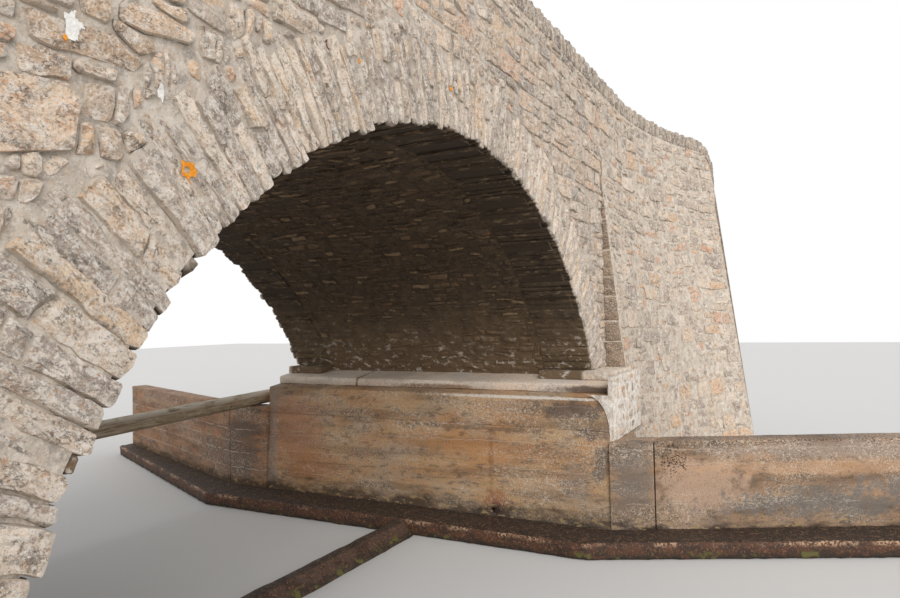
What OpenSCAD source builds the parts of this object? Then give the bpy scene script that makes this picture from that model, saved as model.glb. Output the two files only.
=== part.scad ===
// Single-span stone arch road bridge over a walled mill channel.
// X runs along the road, Y across it, Z up. The origin is the centre of the plan at the lowest
// level where the walls meet the bed, and every wall runs down to that level.

/* [Arch] */
// Half span at the right springing
half_span = 3350; // [2900:10:3450]
// Rise of the segmental arch from the right springing to the crown
arch_rise = 2129; // [1700:1:2300]
// Height of the right springing above the base
springing_h = 1765; // [1650:5:2100]
// How much lower the left springing lies
left_drop = 600; // [0:10:650]
// Mean depth of the face ring of thin voussoirs
ring_t = 620; // [450:10:700]
// Mean thickness of a voussoir at the intrados
voussoir_pitch = 165; // [120:5:260]
// Extra thickness of the voussoirs at the feet, as a share of the thinness at the crown
voussoir_spread = 0.17; // [0:0.01:0.3]
// How far the voussoirs step in and out along the intrados
intrados_step = 14; // [0:1:25]
// How far the voussoirs step in and out along the back of the ring
back_step = 45; // [0:5:60]
// Thickness of the vault between the two face rings
barrel_t = 450; // [300:10:450]
// Level width of a ring foot on its pad
ring_foot_w = 550; // [450:10:650]
// Thickness of the pad stones under the ring feet
pad_t = 65; // [40:5:120]
// How far the pads reach in front of the face
pad_out = 330; // [150:10:360]
// How far the pads reach into the opening
pad_in = 250; // [100:10:350]

/* [Bridge walls] */
// Width of the bridge from face to face
bridge_w = 4500; // [3600:50:6000]
// Thickness of the face rings and of the walls over them
face_t = 600; // [500:10:750]
// Road surface above the crown of the ring
crown_cover = 200; // [150:10:400]
// Thickness of the road surface layer
road_t = 100; // [60:10:120]
// Camber of the road surface at its middle
road_camber = 60; // [0:5:120]
// Parapet height from the road edge to its coping
parapet_h = 671; // [600:1:1000]
// Thickness of the parapets
parapet_t = 400; // [300:10:480]
// Height of the upright coping slabs
coping_h = 240; // [150:10:300]
// Overhang of the coping on each side of the parapet
coping_out = 15; // [0:5:40]
// Pitch of the coping slabs along the wall
coping_pitch = 95; // [70:5:200]

/* [Wing walls] */
// Distance from the middle of the bridge to the end of a wing
wing_end = 8850; // [7000:10:12000]
// Angle that a wing turns outward on its curve
wing_turn = 26; // [8:1:40]
// Batter of the wing face, run for a rise of one
wing_batter = 0.102; // [0.03:0.005:0.12]
// How much further the foot of a wing stands out at its end
wing_warp = 210; // [0:10:500]
// Depth below the road at which the batter dies out
batter_below_road = 300; // [150:10:600]
// Height above the road at which the rounded end of a wing stops
wing_end_h = 10; // [0:10:300]
// Length over which the end of a wing rounds down
shoulder_run = 520; // [200:10:900]
// Depth of the coping at the very end of a wing
end_cap_t = 70; // [40:10:140]
// How far short of the wing ends the fill and the road stop
fill_short = 400; // [300:10:1500]

/* [Abutments] */
// Half width of the channel between the wall faces at the bed
channel_half_w = 2600; // [2300:10:2700]
// How far an abutment face leans back up to its top
abutment_lean = 90; // [0:5:120]
// Depth of the springer course
springer_t = 170; // [120:5:250]
// Fall of the weathered top of the springer course
springer_fall = 70; // [20:5:90]
// How far the springer course reaches into the opening
springer_out = 450; // [300:10:500]
// Fall of the abutment top in front of the springer course
ledge_fall = 30; // [0:5:60]
// Depth of the upper lift of the abutment concrete
upper_lift_h = 360; // [200:10:500]
// How far an abutment reaches past the near face
abutment_out = 370; // [200:10:600]
// How far an abutment runs back behind the foot of the vault
abutment_back = 850; // [400:10:1200]
// Diameter of the weep hole in each abutment
weep_d = 60; // [30:5:100]
// Height of the weep hole above the base
weep_h = 225; // [210:5:400]
// Depth of the weep hole
weep_depth = 350; // [200:10:600]
// Place of the weep hole along the channel
weep_y = -1225; // [-2000:25:2000]

/* [Channel walls] */
// Distance from the middle of the bridge to the ends of the channel walls
channel_reach = 7250; // [6000:50:8500]
// Splay of the near channel walls
near_splay = 27; // [0:1:40]
// Splay of the far channel walls
far_splay = 21.5; // [0:0.5:40]
// Thickness of the channel walls
channel_wall_t = 300; // [200:10:450]
// Top of the near channel walls
near_wall_top = 1105; // [800:5:1300]
// Top of the far channel walls on the right
far_wall_top_right = 1285; // [900:5:1400]
// Top of the far channel walls on the left
far_wall_top_left = 1065; // [900:5:1400]
// Length of the near return wall along the channel
near_return_len = 422; // [200:10:900]
// Length of the straight low wall that carries the pole
far_return_len = 680; // [400:10:1200]
// Width of the vertical joint between the walls
joint_w = 12; // [5:1:30]

/* [Footings and weir] */
// Width of the footing ledge
footing_w = 570; // [300:10:700]
// Width of the footing ledge at the far ends
footing_end_w = 285; // [150:5:500]
// Height of the footing ledge
footing_h = 175; // [120:5:250]
// Height of the weir crest
weir_h = 155; // [80:5:200]
// Width of the weir crest
weir_crest_w = 120; // [60:10:300]
// Run of the weir's downstream slope
weir_slope_w = 130; // [50:10:400]
// Place of the weir crest along the channel
weir_y = -363; // [-1500:1:1500]

/* [Pole] */
// Diameter of the timber pole at its butt, on the left
pole_butt_d = 212; // [140:2:280]
// Diameter of the timber pole at its tip, on the right
pole_tip_d = 186; // [120:2:280]
// How far the pole runs past the channel walls' faces
pole_over = 620; // [350:10:900]
// Clear distance from the far face to the pole
pole_clear = 200; // [50:10:400]

/* [Drain pipe] */
// Outer diameter of the drain pipe in the near face
pipe_d = 60; // [40:2:120]
// Wall of the drain pipe
pipe_wall = 6; // [3:1:10]
// How far the drain pipe stands out of the face
pipe_out = 12; // [0:2:60]
// Length of the drain pipe
pipe_len = 400; // [200:10:480]
// Place of the drain pipe along the road
pipe_x = -1740; // [-2200:10:2200]
// Depth of the drain pipe below the mean back of the face ring
pipe_below_back = 120; // [100:2:140]

/* [Hidden] */
RIGHT = 1;
LEFT = -1;
NEAR = -1;
FAR = 1;
$fn = 96;
eps = 1;
far_away = 30000;

face_y = bridge_w / 2;
inner_y = face_y - face_t;
road_edge_y = face_y - parapet_t;

arch_r = (half_span * half_span + arch_rise * arch_rise) / (2 * arch_rise);
arch_centre_h = springing_h + arch_rise - arch_r;
ring_r = arch_r + ring_t;
barrel_r = arch_r + barrel_t;
crown_top = arch_centre_h + ring_r;
road_h = crown_top + crown_cover;
body_top = road_h - road_t;
coping_base = road_h + parapet_h;
bridge_top = coping_base + coping_h;
batter_top = road_h - batter_below_road;
foot_out = wing_batter * batter_top;

function springing(side) = side == RIGHT ? springing_h : springing_h - left_drop;
function spring_x(side) = sqrt(pow(arch_r, 2) - pow(springing(side) - arch_centre_h, 2));
function vault_foot_x(side) = sqrt(pow(barrel_r, 2) - pow(springing(side) - arch_centre_h, 2));
function pilaster_x(side) = spring_x(side) + ring_foot_w;
function back_x(side) = vault_foot_x(side) + abutment_back;
function abutment_top(side) = springing(side) - springer_t - ledge_fall;
function springer_x(side) = spring_x(side) - springer_out;
function lean_x(side, h) = channel_half_w + abutment_lean * h / abutment_top(side);
function lift_h(side) = abutment_top(side) - upper_lift_h;
function splay(end) = end == NEAR ? near_splay : far_splay;
function return_y(end) = end == NEAR ? face_y + abutment_out : face_y + far_return_len;
function near_joint_y() = return_y(NEAR) + near_return_len;
function wall_x(end, y) = channel_half_w + max(0, y - return_y(end)) * tan(splay(end));
function far_wall_top(side) = side == RIGHT ? far_wall_top_right : far_wall_top_left;

// Places a child that is drawn for the right and the near side
module at_side(side) mirror([side == LEFT ? 1 : 0, 0, 0]) children();
module at_end(end) mirror([0, end == FAR ? 1 : 0, 0]) children();

// Stands a drawing of X and Z upright and gives it a length along Y
module along_y(y0, y1) translate([0, y1, 0]) rotate([90, 0, 0]) linear_extrude(y1 - y0) children();

// The opening and the masonry round it, in X and Z
module disc(r) translate([0, arch_centre_h]) circle(r = r, $fn = 192);

module above_springings(extra) {
    translate([0, springing(RIGHT) + extra]) square([far_away, far_away]);
    translate([-far_away, springing(LEFT) + extra]) square([far_away, far_away]);
}

module between_pilasters() {
    translate([-pilaster_x(LEFT), 0]) square([pilaster_x(LEFT) + pilaster_x(RIGHT), body_top]);
}

// Thin voussoirs laid on edge: joints at voussoir_angle(i) from the crown, wider apart towards the
// feet, each stone stepping in or out a little at its soffit and at its back
function foot_angle(side) = atan2(pilaster_x(side), springing(side) - arch_centre_h) + 1;
ring_half_angle = (foot_angle(LEFT) + foot_angle(RIGHT)) / 2;
ring_mid_angle = (foot_angle(RIGHT) - foot_angle(LEFT)) / 2;
voussoirs = round(2 * ring_half_angle * PI / 180 * arch_r / voussoir_pitch);
function voussoir_angle(i) =
    let (t = 2 * (i + 0.22 * sin(137 * i)) / voussoirs - 1)
    ring_mid_angle + ring_half_angle * (t * (1 - voussoir_spread) + voussoir_spread * t * t * t);
function voussoir_soffit(i) = arch_r + intrados_step * sin(211 * i);
function voussoir_back(i) = ring_r + back_step * sin(97 * i + 40);
function polar(r, a) = [r * sin(a), arch_centre_h + r * cos(a)];
ring_back = [for (i = [0:voussoirs - 1]) each
    [polar(voussoir_back(i), voussoir_angle(i)), polar(voussoir_back(i), voussoir_angle(i + 1))]];
ring_soffit = [for (i = [voussoirs - 1:-1:0]) each
    [polar(voussoir_soffit(i), voussoir_angle(i + 1)), polar(voussoir_soffit(i), voussoir_angle(i))]];

module ring_profile() {
    intersection() {
        polygon(concat(ring_back, ring_soffit));
        above_springings(pad_t);
        between_pilasters();
    }
}

module barrel_profile() {
    intersection() {
        difference() {
            disc(barrel_r);
            disc(arch_r);
        }
        above_springings(0);
    }
}

module spandrel_profile() {
    difference() {
        intersection() {
            between_pilasters();
            above_springings(pad_t);
        }
        polygon(concat(ring_back, [[0, arch_centre_h]]));
    }
}

pipe_h = arch_centre_h + sqrt(pow(ring_r - pipe_below_back, 2) - pipe_x * pipe_x);

module arch_ring(end) {
    color("rosybrown") difference() {
        at_end(end) along_y(-face_y, -inner_y) ring_profile();
        if (end == NEAR) translate([pipe_x, -face_y - eps, pipe_h]) rotate([-90, 0, 0])
            cylinder(d = pipe_d, h = pipe_len - pipe_out + eps);
    }
}

module arch_barrel() {
    color("dimgray") along_y(-inner_y, inner_y) barrel_profile();
}

module spandrel(end) {
    color("tan") at_end(end) along_y(-face_y, -inner_y) spandrel_profile();
}

module drain_pipe() {
    color("sienna") translate([pipe_x, -face_y - pipe_out, pipe_h]) rotate([-90, 0, 0]) difference() {
        cylinder(d = pipe_d, h = pipe_len);
        translate([0, 0, -eps]) cylinder(d = pipe_d - 2 * pipe_wall, h = pipe_len + 2 * eps);
    }
}

module parapet(end) {
    color("tan") at_end(end) translate([-pilaster_x(LEFT), -face_y, body_top])
        cube([pilaster_x(LEFT) + pilaster_x(RIGHT), parapet_t, coping_base - body_top]);
}

// Cock-and-hen coping: upright slabs of uneven height, side by side
function slab_rise(i) = coping_h * (0.84 + 0.06 * (i % 2) + 0.10 * (i * 7 % 5) / 4);

module coping(end) {
    length = pilaster_x(LEFT) + pilaster_x(RIGHT);
    count = max(4, round(length / coping_pitch));
    step = length / count;
    outline = concat(
        [[0, 0]],
        [for (i = [0:count - 1]) each [[i * step, slab_rise(i)], [(i + 1) * step, slab_rise(i)]]],
        [[length, 0]]);
    color("gray") at_end(end) translate([-pilaster_x(LEFT), 0, coping_base])
        along_y(-face_y - coping_out, -face_y + parapet_t + coping_out) polygon(outline);
}

// The wings run straight past the backs of the abutments and curve outward from there
wing_straight_x = max(back_x(LEFT), back_x(RIGHT));
wing_r = (wing_end - wing_straight_x) / sin(wing_turn) - face_t;
curve_len = wing_r * wing_turn * PI / 180;

// Plan line of a wing, offset to its back by t. u runs from 0 to 1 on the straight and to 2 round
// the curve.
function wing_point(side, t, u) =
    let (a = wing_turn * (u - 1),
         start = [pilaster_x(side), t],
         enter = [wing_straight_x, t])
    u <= 1 ? start + (enter - start) * u
    : enter + (wing_r + t) * [sin(a), cos(a) - 1];

// Share of the curve on which the end of a wing rounds down
shoulder_share = shoulder_run / curve_len;
SHOULDER_STEPS = 7;
CURVE_STEPS = 10;
stations = concat(
    [0],
    [for (i = [0:CURVE_STEPS]) 1 + (1 - shoulder_share) * i / CURVE_STEPS],
    [for (i = [1:SHOULDER_STEPS]) 2 - shoulder_share * cos(90 * i / SHOULDER_STEPS)]);

function shoulder(u, drop) =
    let (d = min(1, max(0, (u - 2 + shoulder_share) / shoulder_share)))
    drop * (1 - sqrt(max(0, 1 - d * d)));
wall_drop = parapet_h - wing_end_h;
coping_drop = wall_drop + coping_h - end_cap_t;

// Plan between the near and the far wings at an offset to their backs, as far as the fill reaches
approach_x = wing_end - fill_short;
module between_wings(t) {
    line = [for (u = stations) if (u >= 1) wing_point(RIGHT, t, u) - [0, face_y]];
    back = [for (i = [len(line) - 1:-1:0]) line[i]];
    intersection() {
        polygon(concat(line, [for (p = back) [p[0], -p[1]]], [for (p = line) -p],
                       [for (p = back) [-p[0], p[1]]]));
        translate([-approach_x, -far_away / 2]) square([2 * approach_x, far_away]);
    }
}

// Closed solid from rings of points of equal count, one ring for each station
module loft(rings) {
    n = len(rings[0]);
    m = len(rings);
    points = [for (ring = rings) each ring];
    sides = [for (i = [0:m - 2]) for (j = [0:n - 1])
        let (a = i * n + j, b = i * n + (j + 1) % n) each [[a, b, a + n], [b, b + n, a + n]]];
    start_cap = [for (j = [n - 1:-1:0]) j];
    end_cap = [for (j = [0:n - 1]) (m - 1) * n + j];
    polyhedron(points, concat([start_cap], sides, [end_cap]));
}

function raise(p, h) = [p[0], p[1] - face_y, h];

// Section of a wing at u: its foot stands out by the batter, and further towards the end
function wing_ring(side, u) =
    let (foot = wing_point(side, -foot_out - wing_warp * pow(max(0, u - 1), 2), u),
         face = wing_point(side, 0, u),
         back = wing_point(side, face_t, u),
         inner = wing_point(side, parapet_t, u),
         top = coping_base - shoulder(u, wall_drop))
    [raise(foot, 0), raise(face, batter_top), raise(face, top), raise(inner, top),
     raise(inner, body_top), raise(back, body_top), raise(back, 0)];

// Section of the wing coping at u, its top lowered by a slab's own shortfall
function wing_coping_ring(side, u, short) =
    let (front = wing_point(side, -coping_out, u),
         rear = wing_point(side, parapet_t + coping_out, u),
         base = coping_base - shoulder(u, wall_drop),
         full = bridge_top - shoulder(u, coping_drop),
         top = full - short * (full - base) / coping_h)
    [raise(front, base), raise(front, top), raise(rear, top), raise(rear, base)];

// Slabs on the straight and round the curve of a wing
function slab_count(length) = max(3, round(length / coping_pitch));
function slab_joints(side) =
    let (n_straight = slab_count(wing_straight_x - pilaster_x(side)),
         n_curve = slab_count(curve_len))
    concat([for (i = [0:n_straight - 1]) i / n_straight],
           [for (i = [0:n_curve]) 1 + i / n_curve]);

module wing_wall(side, end) {
    color("burlywood") at_side(side) at_end(end) loft([for (u = stations) wing_ring(side, u)]);
}

module wing_coping(side, end) {
    joints = slab_joints(side);
    color("gray") at_side(side) at_end(end) for (i = [0:len(joints) - 2]) {
        short = coping_h - slab_rise(i);
        loft([wing_coping_ring(side, joints[i], short), wing_coping_ring(side, joints[i + 1], short)]);
    }
}

module fill() {
    color("peru") difference() {
        linear_extrude(body_top) between_wings(face_t);
        along_y(-inner_y - eps, inner_y + eps) {
            intersection() {
                disc(barrel_r);
                above_springings(0);
            }
            for (side = [LEFT, RIGHT]) scale([side, 1])
                translate([-eps, -eps]) square([back_x(side) + eps, springing(side) + eps]);
        }
    }
}

// The road widens with the wings, and its edges stay level
module roadway() {
    edge_y = far_away / 2;
    color("slategray") intersection() {
        translate([0, 0, body_top]) linear_extrude(road_t + road_camber) between_wings(parapet_t);
        rotate([90, 0, 90]) translate([0, 0, -approach_x]) linear_extrude(2 * approach_x) polygon([
            [-edge_y, body_top], [edge_y, body_top], [edge_y, road_h], [road_edge_y, road_h],
            [0, road_h + road_camber], [-road_edge_y, road_h], [-edge_y, road_h]]);
    }
}

// Mass concrete of the abutments: a full front, and a back between the wings that reaches into the
// front by half of the width behind the springing
module abutment_front(side) at_side(side) along_y(-face_y - abutment_out, face_y) children();

module abutment_rear(side, h0, h1) {
    front_x = (spring_x(side) + pilaster_x(side)) / 2;
    at_side(side) translate([front_x, -inner_y, h0])
        cube([back_x(side) - front_x, 2 * inner_y, h1 - h0]);
}

module abutment_lower(side) {
    top = lift_h(side);
    color("sienna") difference() {
        union() {
            abutment_front(side) polygon([
                [lean_x(side, 0), 0], [pilaster_x(side), 0], [pilaster_x(side), top],
                [lean_x(side, top), top]]);
            abutment_rear(side, 0, top);
        }
        translate([side * (channel_half_w - eps), weep_y, weep_h]) rotate([0, side * 90, 0])
            cylinder(d = weep_d, h = weep_depth);
    }
}

module abutment_upper(side) {
    foot = lift_h(side);
    top = abutment_top(side);
    edge = springing(side) - springer_t;
    color("sienna") {
        abutment_front(side) polygon([
            [lean_x(side, foot), foot], [pilaster_x(side), foot], [pilaster_x(side), edge],
            [springer_x(side), edge], [lean_x(side, top), top]]);
        abutment_rear(side, foot, edge);
    }
}

module springer_course(side) {
    top = springing(side);
    color("darkgray") {
        abutment_front(side) polygon([
            [springer_x(side), top - springer_t], [pilaster_x(side), top - springer_t],
            [pilaster_x(side), top], [spring_x(side), top], [springer_x(side), top - springer_fall]]);
        abutment_rear(side, top - springer_t, top);
    }
}

module pad_stone(side, end) {
    top = springing(side);
    toe = spring_x(side) - pad_in;
    out = end == NEAR ? pad_out : 0;
    color("silver") at_side(side) at_end(end) along_y(-face_y - out, -inner_y) polygon([
        [toe, top - springer_fall * pad_in / springer_out], [spring_x(side), top],
        [pilaster_x(side), top], [pilaster_x(side), top + pad_t], [toe, top + pad_t]]);
}

// Upright wall between two distances from the middle of the bridge, its face on the channel
module channel_strip(end, y0, y1, h) {
    back = channel_wall_t / cos(y1 > return_y(end) ? splay(end) : 0);
    linear_extrude(h) polygon([
        [wall_x(end, y0), -y0], [wall_x(end, y0) + back, -y0],
        [wall_x(end, y1) + back, -y1], [wall_x(end, y1), -y1]]);
}

module near_return(side) {
    color("gray") at_side(side) channel_strip(NEAR, return_y(NEAR), near_joint_y(), near_wall_top);
}

module near_channel_wall(side) {
    color("darkgray") at_side(side)
        channel_strip(NEAR, near_joint_y() + joint_w, channel_reach, near_wall_top);
}

module far_return(side) {
    color("gray") at_side(side) at_end(FAR)
        channel_strip(FAR, face_y, return_y(FAR), far_wall_top(side));
}

module far_channel_wall(side) {
    color("darkgray") at_side(side) at_end(FAR)
        channel_strip(FAR, return_y(FAR) + joint_w, channel_reach, far_wall_top(side));
}

// Footing ledge along one side of the channel, in front of the wall faces
module footing(side) {
    near_bend = return_y(NEAR) - footing_w * tan(near_splay / 2);
    far_bend = return_y(FAR) - footing_w * tan(far_splay / 2);
    color("dimgray") at_side(side) linear_extrude(footing_h) polygon([
        [wall_x(NEAR, channel_reach), -channel_reach],
        [channel_half_w, -return_y(NEAR)],
        [channel_half_w, return_y(FAR)],
        [wall_x(FAR, channel_reach), channel_reach],
        [wall_x(FAR, channel_reach) - footing_end_w, channel_reach],
        [channel_half_w - footing_w, far_bend],
        [channel_half_w - footing_w, -near_bend],
        [wall_x(NEAR, channel_reach) - footing_w / cos(near_splay), -channel_reach]]);
}

module weir_sill() {
    half = channel_half_w - footing_w;
    color("gray") translate([-half, 0, 0]) rotate([90, 0, 90]) linear_extrude(2 * half) polygon([
        [weir_y + weir_crest_w, 0], [weir_y + weir_crest_w, weir_h], [weir_y, weir_h],
        [weir_y - weir_slope_w, 0]]);
}

// The pole lies on the inner edge of the higher low wall and the outer edge of the lower one
module pole() {
    right_high = far_wall_top_right >= far_wall_top_left;
    x_right = right_high ? channel_half_w : channel_half_w + channel_wall_t;
    x_left = right_high ? channel_half_w + channel_wall_t : channel_half_w;
    tilt = atan((far_wall_top_right - far_wall_top_left) / (x_right + x_left));
    length = 2 * (channel_half_w + pole_over) / cos(tilt);
    taper = atan((pole_butt_d - pole_tip_d) / 2 / length);
    color("olive") translate([x_right, face_y + pole_clear + pole_butt_d / 2, far_wall_top_right])
        rotate([0, -tilt, 0])
        translate([-x_right / cos(tilt) - length / 2, 0, pole_butt_d / 2 * cos(taper)])
        rotate([0, 90 + taper, 0]) cylinder(d1 = pole_butt_d, d2 = pole_tip_d, h = length / cos(taper));
}

arch_barrel();
arch_ring(NEAR);  // arch_ring_near
arch_ring(FAR);  // arch_ring_far
spandrel(NEAR);  // spandrel_near
spandrel(FAR);  // spandrel_far
parapet(NEAR);  // parapet_near
parapet(FAR);  // parapet_far
coping(NEAR);  // coping_near
coping(FAR);  // coping_far
wing_wall(RIGHT, NEAR);  // wing_near_right
wing_wall(LEFT, NEAR);  // wing_near_left
wing_wall(RIGHT, FAR);  // wing_far_right
wing_wall(LEFT, FAR);  // wing_far_left
wing_coping(RIGHT, NEAR);  // wing_coping_near_right
wing_coping(LEFT, NEAR);  // wing_coping_near_left
wing_coping(RIGHT, FAR);  // wing_coping_far_right
wing_coping(LEFT, FAR);  // wing_coping_far_left
fill();  // rubble_fill
roadway();
abutment_lower(RIGHT);  // abutment_lower_right
abutment_lower(LEFT);  // abutment_lower_left
abutment_upper(RIGHT);  // abutment_upper_right
abutment_upper(LEFT);  // abutment_upper_left
springer_course(RIGHT);  // springer_course_right
springer_course(LEFT);  // springer_course_left
pad_stone(RIGHT, NEAR);  // pad_near_right
pad_stone(LEFT, NEAR);  // pad_near_left
pad_stone(RIGHT, FAR);  // pad_far_right
pad_stone(LEFT, FAR);  // pad_far_left
near_return(RIGHT);  // return_near_right
near_return(LEFT);  // return_near_left
near_channel_wall(RIGHT);  // channel_wall_near_right
near_channel_wall(LEFT);  // channel_wall_near_left
far_return(RIGHT);  // return_far_right
far_return(LEFT);  // return_far_left
far_channel_wall(RIGHT);  // channel_wall_far_right
far_channel_wall(LEFT);  // channel_wall_far_left
footing(RIGHT);  // footing_right
footing(LEFT);  // footing_left
weir_sill();
pole();  // channel_pole
drain_pipe();
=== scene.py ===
"""Looks of a single-span stone arch road bridge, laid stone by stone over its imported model."""
import itertools
import logging
import math
from collections.abc import Callable, Iterable
from dataclasses import dataclass, field
from enum import Enum
from random import Random

import bmesh
import bpy
from mathutils import Matrix, Vector, bvhtree, noise


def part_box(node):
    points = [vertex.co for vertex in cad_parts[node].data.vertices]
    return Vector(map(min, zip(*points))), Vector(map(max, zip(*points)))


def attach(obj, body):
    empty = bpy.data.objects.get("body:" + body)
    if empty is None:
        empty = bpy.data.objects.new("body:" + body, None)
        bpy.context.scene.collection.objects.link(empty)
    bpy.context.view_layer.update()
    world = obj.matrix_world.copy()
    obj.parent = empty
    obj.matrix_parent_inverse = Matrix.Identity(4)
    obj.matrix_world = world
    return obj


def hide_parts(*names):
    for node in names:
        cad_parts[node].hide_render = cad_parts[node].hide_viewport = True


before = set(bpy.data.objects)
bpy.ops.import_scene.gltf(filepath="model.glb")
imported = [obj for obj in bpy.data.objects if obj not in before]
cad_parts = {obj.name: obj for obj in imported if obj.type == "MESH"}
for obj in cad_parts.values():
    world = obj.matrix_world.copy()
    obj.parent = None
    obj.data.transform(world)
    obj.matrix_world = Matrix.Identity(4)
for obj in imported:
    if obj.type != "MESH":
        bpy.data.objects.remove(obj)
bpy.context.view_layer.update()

LOG = logging.getLogger("bridge")
# Noise vectors take their offsets from this seed, and would take them from the clock if it was 0.
NOISE_SEED = 1
# Length that counts as none.
TINY = 1e-9

Point = tuple[float, float]
Outline = list[Point]
HalfPlane = tuple[float, float, float]
Limits = Callable[[float, float], Iterable[HalfPlane]]
Socket = bpy.types.NodeSocket


class Side(Enum):
    """Side of the crown, along the road."""

    RIGHT = 1
    LEFT = -1

    @classmethod
    def at(cls, x: float) -> "Side":
        """Side of a place along the road."""
        return cls.RIGHT if x > 0 else cls.LEFT


class End(Enum):
    """Face of the bridge, across the road."""

    NEAR = -1
    FAR = 1


@dataclass
class Corner:
    """Corner of the bridge, where one wing stands."""

    side: Side
    end: End

    @property
    def name(self) -> str:
        """Name of the corner in the names of its pieces."""
        return f"{self.end.name.lower()}_{self.side.name.lower()}"

    @property
    def number(self) -> int:
        """Number that sets the corner's chance apart from that of the others."""
        return self.side.value * 2 + self.end.value


@dataclass(frozen=True)
class BridgeSizes:
    """Sizes that the looks share with the part's source, in metres and degrees."""

    half_span: float = 3.350
    arch_rise: float = 2.129
    springing_h: float = 1.765
    left_drop: float = 0.600
    ring_t: float = 0.620
    voussoir_pitch: float = 0.165
    voussoir_spread: float = 0.17
    voussoir_stray: float = 0.22
    intrados_step: float = 0.014
    back_step: float = 0.045
    ring_foot_w: float = 0.550
    pad_t: float = 0.065
    face_y: float = 2.250
    face_t: float = 0.600
    body_top: float = 4.6142
    over_body: float = 0.110
    coping_base: float = 5.3852
    coping_h: float = 0.240
    coping_out: float = 0.015
    coping_pitch: float = 0.095
    parapet_t: float = 0.400
    barrel_t: float = 0.450
    abutment_back: float = 0.850
    wing_end: float = 8.850
    wing_turn: float = 26.0
    wing_warp: float = 0.210
    fill_short: float = 0.400
    batter_top: float = 4.4142
    foot_out: float = 0.45025
    wall_drop: float = 0.661
    shoulder_run: float = 0.520
    end_cap_t: float = 0.070

    @property
    def arch_r(self) -> float:
        """Radius of the intrados."""
        return (self.half_span**2 + self.arch_rise**2) / (2 * self.arch_rise)

    @property
    def centre_h(self) -> float:
        """Height of the arch's centre."""
        return self.springing_h + self.arch_rise - self.arch_r

    @property
    def ring_r(self) -> float:
        """Mean radius of the back of the ring."""
        return self.arch_r + self.ring_t

    @property
    def inner_foot(self) -> float:
        """Height at which the stones of the road side begin, just over the road's edge."""
        return self.body_top + self.over_body

    @property
    def straight_x(self) -> float:
        """Distance from the middle of the bridge at which the wings begin to curve."""
        rise = self.springing(Side.LEFT) - self.centre_h
        return math.sqrt((self.arch_r + self.barrel_t) ** 2 - rise**2) + self.abutment_back

    @property
    def wing_r(self) -> float:
        """Plan radius of a wing's face."""
        return (self.wing_end - self.straight_x) / math.sin(math.radians(self.wing_turn)) - self.face_t

    @property
    def curve_len(self) -> float:
        """Length of a wing's face round its curve."""
        return self.wing_r * math.radians(self.wing_turn)

    def springing(self, side: Side) -> float:
        """Height of a springing."""
        return self.springing_h - (self.left_drop if side is Side.LEFT else 0.0)

    def pad_top(self, side: Side) -> float:
        """Height of the pad that a ring foot stands on."""
        return self.springing(side) + self.pad_t

    def spring_x(self, side: Side) -> float:
        """Distance of a springing from the middle of the bridge."""
        return math.sqrt(self.arch_r**2 - (self.springing(side) - self.centre_h) ** 2)

    def pilaster_x(self, side: Side) -> float:
        """Distance of the line at which a wing begins."""
        return self.spring_x(side) + self.ring_foot_w

    def foot_angle(self, side: Side) -> float:
        """Angle of a ring foot from the crown, in degrees."""
        return 1 + math.degrees(math.atan2(self.pilaster_x(side), self.springing(side) - self.centre_h))

    @property
    def ring_half_angle(self) -> float:
        """Half the angle that the ring takes in, in degrees."""
        return (self.foot_angle(Side.LEFT) + self.foot_angle(Side.RIGHT)) / 2

    @property
    def voussoirs(self) -> int:
        """Number of voussoirs in a face ring."""
        return round(2 * math.radians(self.ring_half_angle) * self.arch_r / self.voussoir_pitch)

    def voussoir_angle(self, i: int) -> float:
        """Angle of a joint of the ring from the crown, in degrees.

        Args:
            i: number of the joint, from the left foot.
        Returns:
            The angle, negative to the left.
        """
        t = 2 * (i + self.voussoir_stray * math.sin(math.radians(137 * i))) / self.voussoirs - 1
        middle = (self.foot_angle(Side.RIGHT) - self.foot_angle(Side.LEFT)) / 2
        return middle + self.ring_half_angle * (t * (1 - self.voussoir_spread) + self.voussoir_spread * t**3)

    def voussoir_soffit(self, i: int) -> float:
        """Radius of the soffit of voussoir i."""
        return self.arch_r + self.intrados_step * math.sin(math.radians(211 * i))

    def voussoir_back(self, i: int) -> float:
        """Radius of the back of voussoir i."""
        return self.ring_r + self.back_step * math.sin(math.radians(97 * i + 40))

    def polar(self, radius: float, angle: float) -> Point:
        """X and Z of a point at a radius and an angle in degrees from the crown."""
        a = math.radians(angle)
        return radius * math.sin(a), self.centre_h + radius * math.cos(a)

    def wing_point(self, side: Side, offset: float, u: float) -> Point:
        """Point of a wing's plan line on the right and near side, from the arch face.

        Args:
            side: which pilaster line the wing starts at.
            offset: distance of the line behind the wing's face.
            u: 0 to 1 on the straight, to 2 round the curve.
        Returns:
            X and Y, with Y from the arch face, positive to the back.
        """
        if u <= 1:
            start = self.pilaster_x(side)
            return start + (self.straight_x - start) * u, offset
        a, r = math.radians(self.wing_turn * (u - 1)), self.wing_r + offset
        return self.straight_x + r * math.sin(a), offset + r * (math.cos(a) - 1)

    def foot_offset(self, u: float) -> float:
        """Offset of the foot of a wing at station u, by its batter and its warp."""
        return -self.foot_out - self.wing_warp * max(0.0, u - 1) ** 2

    def shoulder(self, u: float, drop: float) -> float:
        """How far the end of a wing has rounded down.

        Args:
            u: station on the wing.
            drop: how far it rounds down in all.
        Returns:
            The height lost at the station.
        """
        share = self.shoulder_run / self.curve_len
        d = min(1.0, max(0.0, (u - 2 + share) / share))
        return drop * (1 - math.sqrt(max(0.0, 1 - d * d)))

    def slab_rise(self, i: int) -> float:
        """Height of coping slab i."""
        return self.coping_h * (0.84 + 0.06 * (i % 2) + 0.10 * (i * 7 % 5) / 4)

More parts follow.
